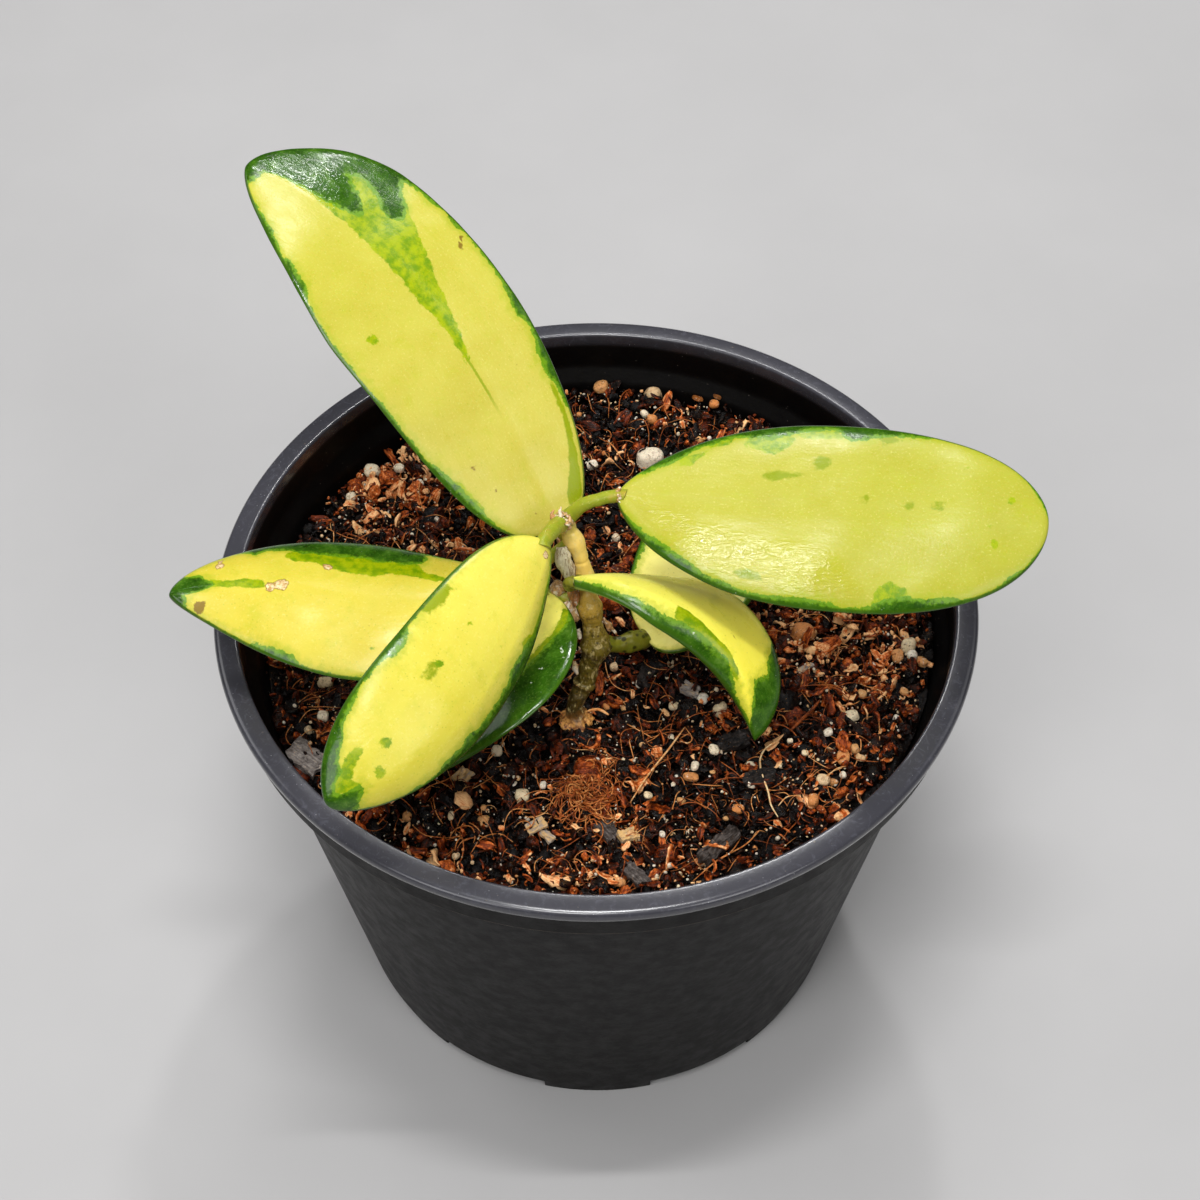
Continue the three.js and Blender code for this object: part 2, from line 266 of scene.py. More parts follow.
def smoothstep(value, low, high):
    share = np.clip((np.asarray(value, float) - low) / (high - low), 0, 1)
    return share * share * (3 - 2 * share)


def bell(offset, width):
    """A bump that is 1 where offset is 0."""
    return np.exp(-(offset / width) ** 2)


def unit(vectors):
    vectors = np.asarray(vectors, float)
    return vectors / np.linalg.norm(vectors, axis=-1, keepdims=True)


class Waves:
    """Smooth pseudo-random relief over points, from -1 to about 1: a sum of plane waves."""

    def __init__(self, seed, size, count=14):
        random = np.random.default_rng(seed)
        self.directions = unit(random.normal(size=(count, 3))) * 2 * np.pi / (
            size * random.uniform(0.7, 1.6, (count, 1)))
        self.phases = random.uniform(0, 2 * np.pi, count)

    def __call__(self, points):
        points = np.asarray(points, float)
        return np.sin(points @ self.directions.T + self.phases).sum(-1) / math.sqrt(
            2 * len(self.phases))


def catmull(points, count):
    """count points on a smooth curve through the given ones."""
    points = np.asarray(points, float)
    padded = np.vstack([2 * points[0] - points[1], points, 2 * points[-1] - points[-2]])
    at = np.linspace(0, len(points) - 1, count)
    first = np.minimum(at.astype(int), len(points) - 2)
    t = (at - first)[:, None]
    a, b, c, d = (padded[first + k] for k in range(4))
    return 0.5 * (2 * b + (c - a) * t + (2 * a - 5 * b + 4 * c - d) * t ** 2
                  + (3 * b - a - 3 * c + d) * t ** 3)


def tube_points(path, radii, sides):
    """Rings of points round a path, with as little twist as possible."""
    path = np.asarray(path, float)
    tangents = unit(np.gradient(path, axis=0))
    normal = unit(np.cross(tangents[0], [0.31, 0.2, 0.93]))
    angles = np.linspace(0, 2 * np.pi, sides, endpoint=False)
    rings = []
    for place, tangent, radius in zip(path, tangents, radii):
        normal = unit(normal - tangent * (normal @ tangent))
        other = np.cross(tangent, normal)
        rings.append(place + radius * (np.outer(np.cos(angles), normal)
                                       + np.outer(np.sin(angles), other)))
    return np.array(rings)


def tube_faces(rings, sides):
    """Quads between rings of that many sides, and a flat cap at both ends."""
    i, j = np.meshgrid(np.arange(rings - 1), np.arange(sides), indexing="ij")
    k = (j + 1) % sides
    quads = np.stack([i * sides + j, i * sides + k, (i + 1) * sides + k, (i + 1) * sides + j], -1)
    last = (rings - 1) * sides
    caps = [list(range(sides))[::-1], list(range(last, last + sides))]
    return quads.reshape(-1, 4).tolist() + caps


def make_tubes(name, tubes, material, **attributes):
    """One mesh of closed tubes, each given as its rings of points."""
    faces, start = [], 0
    for rings in tubes:
        faces += [[k + start for k in face] for face in tube_faces(*rings.shape[:2])]
        start += rings.shape[0] * rings.shape[1]
    points = np.vstack([rings.reshape(-1, 3) for rings in tubes])
    return make_mesh(name, points, faces, material, **attributes)


# ---------------------------------------------------------------- leaves

# The leaves' form is the same formula as in the CAD source. base: where the blade starts.
# heading: direction in plan there, 0 away from the viewer and 90 to the right. turn: change of
# heading to the tip, and bow: how much of it comes early. rise: slope at the base, droop: how far
# the slope falls to the tip. roll: right edge raised, twist: change of roll to the tip. fold: both
# edges raised. widths: left and right half, seen from the base. widest: where along the leaf each
# half is widest. round: bluntness of the base and the tip. full: fullness of the outline.
#
# The variegation is given along the leaf from 0 to 1, and across it from -1, the left margin, to
# 1, the right. margins: width of the green margin, left and right, at places along the leaf.
# line: width in mm of the dark line on each margin. green, lime, pale, crinkle: outlines of
# patches, of which crinkle has glossy folds. marks: (kind, along, across, radius in mm). flesh
# colours: colour at the base and at the tip, with painted light in it: set leaf by leaf, paler on
# the lower leaves, which the leaves above shade, and darker on the top ones. vein: a green midrib,
# from and to along the leaf, and how many mm to the right of the middle.
#
# node: where the petiole leaves the stem, via: a place on its way, petiole: its radius in mm.
# curl: how far each edge turns down, and groove: how deep the midrib lies, in mm.
LEAVES = {
    "leaf_back": dict(
        node=(-3.3, -9.1, 108.3), petiole=1.2, base=(-5.5, -6, 107.5),
        heading=-33, turn=-37, bow=-15, rise=44, droop=34, roll=6, twist=-6, fold=4,
        length=73.5, widths=(17, 13), widest=(0.55, 0.75), round=(0.35, 0.65), full=1.7,
        curl=(0.3, 0.5), flesh=("#bab14c", "#b4af3c"), groove=0.15, line=(0.3, 0.25),
        margins=(
            [(0, 0.02), (0.05, 0.07), (0.1, 0.12), (0.19, 0.12), (0.25, 0.04), (0.6, 0.03),
             (0.68, 0.04), (0.71, 0.11), (0.78, 0.1), (0.8, 0.04), (0.83, 0.08), (0.87, 0.14),
             (0.91, 0.1), (0.94, 0.04), (1, 0.05)],
            [(0, 0), (0.2, 0), (0.22, 0.1), (0.25, 0.08), (0.28, 0.17), (0.33, 0.16),
             (0.38, 0.06), (0.41, 0.17), (0.44, 0.14), (0.48, 0.07), (0.6, 0.04), (0.62, 0.11),
             (0.65, 0.04), (0.68, 0.08), (0.72, 0.08), (0.74, 0.1), (1, 0.1)],
        ),
        green=[[(0.735, 1.1), (0.74, 0.9), (0.725, 0.75), (0.7, 0.66), (0.685, 0.5), (0.7, 0.36),
                (0.73, 0.4), (0.75, 0.5), (0.8, 0.62), (0.825, 0.6), (0.8, 0.46), (0.765, 0.35),
                (0.745, 0.2), (0.76, 0.1), (0.83, 0.04), (0.92, 0.04), (0.955, -0.02),
                (0.958, -0.3), (0.965, -0.6), (0.975, -1.1), (1.05, -1.1), (1.05, 1.1)]],
        lime=[[(0.29, -0.045), (0.38, -0.065), (0.46, -0.045), (0.55, -0.065), (0.68, -0.06),
               (0.78, -0.035), (0.84, 0), (0.9, 0.3), (0.86, 0.6), (0.72, 0.75), (0.69, 0.62),
               (0.65, 0.5), (0.6, 0.37), (0.55, 0.26), (0.5, 0.17), (0.45, 0.1), (0.4, 0.0)],
              [(0.09, -1), (0.1, -0.84), (0.17, -0.84), (0.21, -0.93), (0.2, -1)]],
        pale=[[(0.03, 0.5), (0.06, 0.5), (0.09, 0.64), (0.14, 0.75), (0.2, 0.82), (0.26, 0.8),
               (0.27, 0.87), (0.2, 0.9), (0.1, 0.88), (0.04, 0.9)]],
        marks=[("lime", 0.525, -0.65, 0.9), ("spot", 0.187, -0.61, 0.45),
               ("spot", 0.125, -0.57, 0.3), ("spot", 0.33, 0.5, 0.28),
               ("spot", 0.576, 0.78, 0.55), ("spot", 0.592, 0.87, 0.4),
               ("spot", 0.05, -0.28, 0.22), ("spot", 0.11, 0.46, 0.2), ("spot", 0.46, -0.66, 0.2),
               ("lime", 0.622, 0.28, 0.6), ("spot", 0.345, 0.28, 0.18)],
        vein=(0.26, 0.42, -0.55),
        crinkle=[[(0.8, 0.05), (0.95, 0.05), (0.97, 0.4), (0.93, 0.7), (0.82, 0.5)]],
    ),
    "leaf_right": dict(
        node=(-4.6, -8, 111.6), via=(-1.6, -8, 115.2), petiole=1.05, base=(3, -8, 117),
        heading=103, turn=-6, bow=14, rise=3, droop=7, roll=-13, twist=-8, fold=-3,
        length=62.5, widths=(14.5, 15), widest=(0.5, 0.55), round=(0.7, 0.5), full=2.3,
        curl=(0.9, 0.95), flesh=("#a8a538", "#a5a537"), groove=0.12, line=(0.25, 0.3),
        margins=(
            [(0, 0.05), (0.03, 0.1), (0.06, 0.28), (0.12, 0.26), (0.17, 0.16), (0.22, 0.12),
             (0.26, 0.1), (0.3, 0.14), (0.35, 0.18), (0.4, 0.15), (0.46, 0.09), (0.51, 0.08),
             (0.54, 0.21), (0.57, 0.21), (0.6, 0.15), (0.66, 0.11), (0.71, 0.06), (0.76, 0.01),
             (0.92, 0.01), (0.95, 0.06), (0.97, 0.2), (1, 0.4)],
            [(0, 0.02), (0.03, 0.12), (0.06, 0.2), (0.12, 0.2), (0.18, 0.16), (0.21, 0.09),
             (0.27, 0.08), (0.33, 0.05), (0.38, 0.08), (0.44, 0.1), (0.5, 0.07), (0.55, 0.03),
             (0.59, 0.05), (0.62, 0.13), (0.67, 0.15), (0.74, 0.11), (0.8, 0.06), (0.84, 0.03),
             (0.89, 0.05), (0.92, 0.1), (1, 0.15)],
        ),
        lime=[[(0.595, 1), (0.6, 0.84), (0.61, 0.73), (0.64, 0.71), (0.675, 0.79), (0.67, 0.9)],
              [(0.29, -0.95), (0.29, -0.74), (0.33, -0.68), (0.36, -0.61), (0.4, -0.72),
               (0.41, -0.8), (0.38, -0.95)],
              [(0.13, -0.8), (0.14, -0.62), (0.165, -0.58), (0.18, -0.68), (0.21, -0.78)],
              [(0.2, -0.95), (0.2, -0.82), (0.25, -0.8), (0.27, -0.95)],
              [(0.41, -0.95), (0.41, -0.84), (0.46, -0.8), (0.52, -0.82), (0.52, -0.95)]],
        pale=[[(0.335, -0.38), (0.345, -0.3), (0.4, -0.33), (0.44, -0.37), (0.43, -0.41),
               (0.36, -0.42)],
              [(0.455, -0.55), (0.47, -0.6), (0.5, -0.55), (0.48, -0.44), (0.455, -0.45)],
              [(0.56, -0.12), (0.585, -0.2), (0.59, -0.12), (0.57, -0.06)],
              [(0.72, -0.06), (0.73, -0.16), (0.76, -0.16), (0.757, -0.05)],
              [(0.66, -0.04), (0.68, -0.15), (0.695, -0.12), (0.68, -0.02)],
              [(0.28, 0.8), (0.3, 0.73), (0.34, 0.74), (0.35, 0.82)],
              [(0.6, -0.92), (0.62, -0.75), (0.66, -0.86), (0.64, -0.92)]],
        marks=[("lime", 0.807, -0.65, 0.4), ("lime", 0.912, -0.34, 0.4),
               ("lime", 0.875, 0.34, 0.6), ("spot", 0.405, 0.49, 0.28), ("lime", 0.86, 0.1, 0.3)],
        crinkle=[[(0.03, 0.1), (0.2, 0.35), (0.5, 0.5), (0.55, 0.8), (0.4, 0.85), (0.15, 0.8)]],
    ),
    "leaf_left": dict(
        node=(-3.3, -9.1, 108.3), via=(-8, -10.7, 105.2), petiole=0.95, base=(-13.5, -11.5, 103),
        heading=-124, turn=13, bow=-68, rise=4, droop=7, roll=2, twist=4, fold=-14,
        length=50.5, widths=(13.5, 11.5), widest=(0.4, 0.45), round=(0.55, 0.7), full=1.8,
        curl=(0.4, 0.5), flesh=("#c9bb40", "#c9bb40"), groove=0.15, line=(0.22, 0.3),
        margins=(
            [(0, 0.1), (0.3, 0.08), (0.4, 0.02), (0.58, 0.02), (0.6, 0.1), (0.67, 0.12),
             (0.72, 0.07), (0.76, 0.04), (0.85, 0.02), (0.92, 0.03), (0.95, 0.1), (1, 0.3)],
            [(0, 0.06), (0.2, 0.08), (0.24, 0.12), (0.3, 0.2), (0.78, 0.15), (0.82, 0.06),
             (0.9, 0.04), (1, 0.1)],
        ),
        green=[[(0.225, 0.8), (0.245, 0.62), (0.3, 0.54), (0.35, 0.56), (0.4, 0.53), (0.45, 0.6),
                (0.55, 0.6), (0.62, 0.63), (0.68, 0.72), (0.73, 0.8), (0.76, 0.71), (0.79, 0.86),
                (0.8, 1.1), (0.26, 1.1)],
               [(0.86, 0.0), (0.885, -0.1), (0.92, -0.2), (0.95, -0.28), (0.955, -0.8),
                (0.97, -1.1), (1.05, -1.1), (1.05, 1.1), (0.96, 1.1), (0.935, 0.65),
                (0.9, 0.42), (0.88, 0.2)]],
        lime=[[(0.17, 0.2), (0.21, 0.18), (0.27, 0.28), (0.35, 0.33), (0.4, 0.25), (0.5, 0.29),
               (0.55, 0.36), (0.6, 0.45), (0.65, 0.47), (0.68, 0.62), (0.66, 0.72), (0.5, 0.64),
               (0.35, 0.6), (0.26, 0.62), (0.25, 0.42), (0.2, 0.32)],
              [(0.71, -0.1), (0.77, -0.09), (0.83, -0.08), (0.89, -0.05), (0.88, 0.22),
               (0.84, 0.08), (0.78, 0.09), (0.72, 0.05)]],
        marks=[("scar", 0.665, -0.03, 1.05), ("scar", 0.7, -0.08, 0.85),
               ("scar", 0.545, 0.36, 0.75), ("scar", 0.85, 0.62, 0.6), ("scar", 0.848, 0.78, 0.5),
               ("spot", 0.92, -0.68, 0.9), ("spot", 0.905, -0.55, 0.5),
               ("lime", 0.388, -0.68, 0.4), ("spot", 0.545, -0.28, 0.2),
               ("spot", 0.395, -0.45, 0.2), ("spot", 0.51, -0.43, 0.16),
               ("spot", 0.46, 0.12, 0.2), ("spot", 0.7, 0.2, 0.3), ("spot", 0.6, 0.05, 0.18)],
    ),
    "leaf_front": dict(
        node=(-4.6, -8, 111.6), via=(-6, -11.5, 113.9), petiole=1.3, base=(-7.5, -15, 115),
        heading=-165.5, turn=67.5, bow=29, rise=-8.5, droop=5.5, roll=43.5, twist=11.5, fold=-13,
        length=52.5, widths=(5.8, 13.6), widest=(0.5, 0.56), round=(0.45, 0.45), full=2.05,
        curl=(0.2, 0.4), flesh=("#d4c952", "#cbc142"), groove=0.2, line=(0.3, 0.25),
        margins=(
            [(0, 0.2), (0.03, 0.3), (0.11, 0.24), (0.19, 0.27), (0.27, 0.3), (0.31, 0.47),
             (0.38, 0.5), (0.41, 0.36), (0.51, 0.3), (0.56, 0.33), (0.58, 0.42), (0.63, 0.32),
             (0.69, 0.29), (0.71, 0.14), (0.75, 0.13), (0.77, 0.16), (0.8, 0.06), (0.89, 0.05),
             (1, 0.3)],
            [(0, 0.02), (0.3, 0.02), (0.47, 0.02), (0.5, 0.09), (0.58, 0.11), (0.62, 0.05),
             (0.74, 0.05), (0.85, 0.12), (0.88, 0.2), (1, 0.5)],
        ),
        green=[[(0.936, -1.1), (0.918, -0.72), (0.906, -0.31), (0.888, -0.01), (0.893, 0.09),
                (0.936, 0.07), (0.956, 0.11), (0.956, 0.33), (0.923, 0.39), (0.921, 0.61),
                (0.896, 0.69), (0.873, 0.81), (0.868, 1.1), (1.05, 1.1), (1.05, -1.1)]],
        lime=[[(0.883, 0.06), (0.961, 0.05), (0.966, 0.35), (0.923, 0.45), (0.906, 0.55),
               (0.848, 0.54), (0.848, 0.44), (0.886, 0.34), (0.913, 0.2)],
              [(0.257, -0.88), (0.269, -0.54), (0.302, -0.42), (0.322, -0.6)],
              [(0.072, -0.89), (0.092, -0.7), (0.194, -0.68), (0.299, -0.65), (0.297, -0.94)]],
        pale=[[(0.496, 0.48), (0.519, 0.58), (0.579, 0.55), (0.569, 0.48)],
              [(0.274, 0.86), (0.314, 0.85), (0.396, 0.89), (0.396, 1), (0.277, 1)]],
        marks=[("lime", 0.778, 0.33, 0.8), ("lime", 0.833, 0.1, 0.9), ("lime", 0.506, 0.51, 0.6),
               ("lime", 0.351, 0.48, 0.45), ("lime", 0.356, 0.05, 0.4),
               ("lime", 0.836, 0.25, 0.35), ("scar", 0.044, -0.19, 0.5),
               ("spot", 0.649, 0.19, 0.16), ("spot", 0.451, 0.28, 0.14)],
    ),
    "leaf_under_front": dict(
        node=(-0.9, -12.9, 97.2), petiole=1, base=(-6.8, -11.2, 98.4),
        heading=-139, turn=-18.5, bow=-27.5, rise=-7, droop=22, roll=-2.5, twist=-12.5, fold=8.5,
        length=40, widths=(14.6, 14.4), widest=(0.38, 0.3), round=(0.5, 0.8), full=1.95,
        curl=(0.8, 0.4), flesh=("#f4ec70", "#f0e664"), groove=0.2, line=(0.3, 0.3),
        margins=(
            [(0, 0.06), (0.05, 0.2), (0.09, 0.32), (0.14, 0.42), (0.3, 0.48), (0.5, 0.45),
             (0.7, 0.4), (0.9, 0.25), (1, 0.3)],
            [(0, 0.05), (0.5, 0.1), (0.9, 0.1), (1, 0.3)],
        ),
        lime=[[(0.02, -1), (0.037, -0.65), (0.109, -0.55), (0.212, -0.49), (0.341, -0.46),
               (0.514, -0.5), (0.52, -0.86), (0.06, -0.9)]],
        marks=[("fleck", 0.169, -0.82, 0.25), ("fleck", 0.182, -0.88, 0.2),
               ("fleck", 0.159, -0.78, 0.2), ("fleck", 0.267, -0.69, 0.22),
               ("fleck", 0.259, -0.72, 0.2), ("fleck", 0.349, -0.76, 0.25),
               ("fleck", 0.329, -0.74, 0.18), ("fleck", 0.277, -0.65, 0.15)],
    ),
    "leaf_curled": dict(
        node=(-1.6, -11.2, 102.4), via=(-3.7, -14.6, 104.3), petiole=0.9, base=(-4, -15.5, 106.3),
        heading=94.5, turn=74, bow=16.5, rise=18, droop=90.5, roll=32.5, twist=-52.5, fold=-22,
        length=42, widths=(12.8, 4.8), widest=(0.43, 0.37), round=(0.75, 0.75), full=1.4,
        curl=(0.3, 0.3), flesh=("#dcd65c", "#f4e84e"), groove=0.25, line=(0.2, 0.3),
        margins=(
            [(0, 0.02), (0.5, 0.03), (0.72, 0.03), (0.74, 0.26), (0.8, 0.34), (1, 0.5)],
            [(0, 0.3), (0.07, 0.34), (0.18, 0.28), (0.33, 0.3), (0.43, 0.38), (0.48, 0.48),
             (0.59, 0.58), (0.67, 0.72), (0.73, 0.6), (0.79, 0.34), (0.86, 0.26), (0.92, 0.49),
             (1, 0.7)],
        ),
        green=[[(0.738, -1.1), (0.741, -0.71), (0.783, -0.57), (0.768, -0.21), (0.808, -0.12),
                (0.871, 0.01), (0.903, 0.3), (0.936, 0.62), (0.958, 1.1), (1.05, 1.1),
                (1.05, -1.1)]],
        lime=[[(0.404, 0.2), (0.456, 0.12), (0.539, 0.15), (0.641, 0.01), (0.723, 0.1),
               (0.753, 0.39), (0.691, 0.5), (0.586, 0.53), (0.484, 0.61), (0.411, 0.62)]],
        marks=[("spot", 0.606, -0.2, 0.35), ("spot", 0.621, -0.21, 0.3),
               ("fleck", 0.504, 0.61, 0.2)],
    ),
    "leaf_under_right": dict(
        node=(-0.1, -15, 90.8), via=(4.2, -13.7, 89.6), petiole=1.45, base=(7.5, -12, 88.6),
        heading=61, turn=-43, bow=41, rise=14, droop=22, roll=2, twist=3, fold=6,
        length=37.5, widths=(11.5, 9.5), widest=(0.5, 0.55), round=(0.3, 0.55), full=2,
        curl=(0.3, 0.3), flesh=("#efe67e", "#eae068"), groove=0.2, line=(0.3, 0.3),
        margins=([(0, 0.03), (0.3, 0.08), (0.6, 0.12), (1, 0.2)],
                 [(0, 0.03), (0.4, 0.1), (0.8, 0.08), (1, 0.2)]),
        marks=[("spot", 0.3, -0.2, 0.2), ("spot", 0.45, 0.3, 0.2)],
    ),
}

LEAF_THICKNESS = 1.7
MARGIN_THICKNESS = 0.8
STATIONS = 130
ACROSS = 43
MIDRIB_STEPS = 240
PATCHES = ("green", "lime", "pale", "crinkle")
MARKS = ("spot", "scar", "fleck")
NOWHERE = -9.0  # a field's value far from any patch, in mm
NO_VEIN = (2, 2, 0)  # beyond the tip


def leaf_frames(leaf):
    """Places, right and up vectors along the midrib, from base to tip."""
    s = np.linspace(0, 1, MIDRIB_STEPS)
    heading = np.radians(leaf["heading"] + leaf["turn"] * s + 2 * leaf["bow"] * s * (s - 1))
    slope = np.radians(leaf["rise"] - leaf["droop"] * s)
    roll = np.radians(leaf["roll"] + leaf["twist"] * s)[:, None]
    along = np.stack([np.sin(heading) * np.cos(slope), np.cos(heading) * np.cos(slope),
                      np.sin(slope)], -1)
    level = np.stack([np.cos(heading), -np.sin(heading), 0 * s], -1)
    right = level * np.cos(roll) + np.cross(level, along) * np.sin(roll)
    places = np.zeros_like(along)
    places[1:] = np.cumsum((along[1:] + along[:-1]) / 2, axis=0) * leaf["length"] / (
        MIDRIB_STEPS - 1)
    return s, places + leaf["base"], right, np.cross(right, along)


def half_width(leaf, s, side):
    """Half width in mm at s, of the left (0) or right (1) half."""
    widest = np.take(leaf["widest"], side)
    early = s < widest
    to_edge = np.where(early, (widest - s) / widest, (s - widest) / (1 - widest))
    bluntness = np.where(early, leaf["round"][0], leaf["round"][1])
    return np.take(leaf["widths"], side) * (1 - to_edge ** leaf["full"]).clip(0) ** bluntness


def patch_field(leaf, outline, s, q):
    """Distance in mm into a patch with this outline, negative outside."""
    scale = np.array([leaf["length"], sum(leaf["widths"]) / 2])
    corners = np.array(outline) * scale
    points = np.stack([s, q], -1) * scale
    distance = np.full(s.shape, np.inf)
    inside = np.zeros(s.shape, bool)
    for a, b in zip(corners, np.roll(corners, -1, axis=0)):
        edge, offset = b - a, points - a
        share = ((offset @ edge) / (edge @ edge)).clip(0, 1)
        distance = np.minimum(distance, np.linalg.norm(offset - share[..., None] * edge, axis=-1))
        crosses = (a[1] > points[..., 1]) != (b[1] > points[..., 1])
        rise = edge[1] if edge[1] else 1e-9
        inside ^= crosses & (points[..., 0] < edge[0] * (points[..., 1] - a[1]) / rise + a[0])
    return np.where(inside, distance, -distance)


def colour_fields(leaf, s, q, half):
    """Per kind of patch or mark: how far in mm each point lies inside one, negative outside."""
    fields = {kind: np.full(s.shape, NOWHERE) for kind in PATCHES + MARKS}
    for side, stops in enumerate(leaf["margins"]):
        width = np.interp(s, *zip(*stops))
        inside = half * (np.abs(q) - 1 + width) - 0.25 * (width < 0.015)
        here = (q > 0) == bool(side)
        fields["green"] = np.where(here, inside, fields["green"])
    for kind in PATCHES:
        for outline in leaf.get(kind, []):
            fields[kind] = np.maximum(fields[kind], patch_field(leaf, outline, s, q))
    for kind, along, across, radius in leaf["marks"]:
        gap = np.hypot((s - along) * leaf["length"],
                       q * half - across * half_width(leaf, np.array(along), int(across > 0)))
        fields[kind] = np.maximum(fields[kind], radius - gap)
    return fields


def make_leaf(name, leaf, index, material):
    """A blade, standing for its leaf. Returns the places along its midrib."""
    t = np.linspace(0, 1, STATIONS)
    stations = np.clip((1 - np.cos(np.pi * t)) / 2, 2e-6, 1 - 2e-6)
    upper = np.sin(np.linspace(-np.pi / 2, np.pi / 2, ACROSS))
    ring = np.concatenate([upper, upper[-2:0:-1]])
    face = np.concatenate([np.ones(ACROSS), -np.ones(ACROSS - 2)])  # 1 above, -1 below
    face[[0, ACROSS - 1]] = 0
    s, q = np.meshgrid(stations, ring, indexing="ij")
    side = (q > 0).astype(int)
    half = half_width(leaf, s, side)

    along, *frames = leaf_frames(leaf)
    place, right, up = (np.stack([np.interp(stations, along, a[:, k]) for k in range(3)],
                                 -1)[:, None] for a in frames)
    right, up = unit(right), unit(up)
    share = np.abs(q)
    fold = math.radians(leaf["fold"])
    lift = half * math.sin(fold) * (0.5 * share + 0.5 * share ** 2)
    middle = place + right * (half * q * math.cos(fold))[..., None] + up * lift[..., None]

    # rounded margins, a groove along the midrib, turned-down edges and slow waves
    thickness = MARGIN_THICKNESS + (LEAF_THICKNESS - MARGIN_THICKNESS) * (1 - share ** 2)
    thickness *= np.sqrt(1 - share ** 24) * np.sqrt(1 - np.abs(2 * s - 1) ** 60)
    sideways = np.abs(q * half)
    fade = smoothstep(s, 0, 0.05) * (1 - 0.8 * smoothstep(s, 0.3, 0.95))
    rise = thickness / 2 * face
    rise -= np.where(face > 0, leaf["groove"] * fade * bell(sideways, 0.8), 0)
    rise -= np.where(face < 0, 0.5 * fade * bell(sideways, 1.1), 0)
    rise -= np.take(leaf["curl"], side) * share ** 6 * np.sin(np.pi * s) ** 0.5
    waves, wrinkles = Waves(40 + index, 17), Waves(60 + index, 5.5)
    rise = rise + 0.22 * waves(middle) + 0.05 * wrinkles(middle)
    points = middle + up * rise[..., None]

    base_tone, tip_tone = (np.array(colour(code)[:3]) for code in leaf["flesh"])
    along_share = smoothstep(s, 0.1, 0.9)[..., None]
    start, end, offset = leaf.get("vein", NO_VEIN)
    vein = smoothstep(s, start - 0.02, start + 0.06) * (1 - smoothstep(s, end, end + 0.03))
    fields = colour_fields(leaf, s, q, half)
    fields.update(edge=half * (1 - share) / np.take(leaf["line"], side), vein=(face > 0) * vein,
                  off_vein=q * half - offset, under=(face < 0) * np.ones_like(s))
    piece = make_tubes(
        name, [points], material, **{kind: field.ravel() for kind, field in fields.items()},
        flesh=(base_tone + (tip_tone - base_tone) * along_share).reshape(-1, 3),
        blade=np.stack([s * leaf["length"], q * half, 0 * s + 60 * index], -1).reshape(-1, 3))
    settle(piece, "leaf_tissue", name.replace("_blade", ""))
    return frames[0]


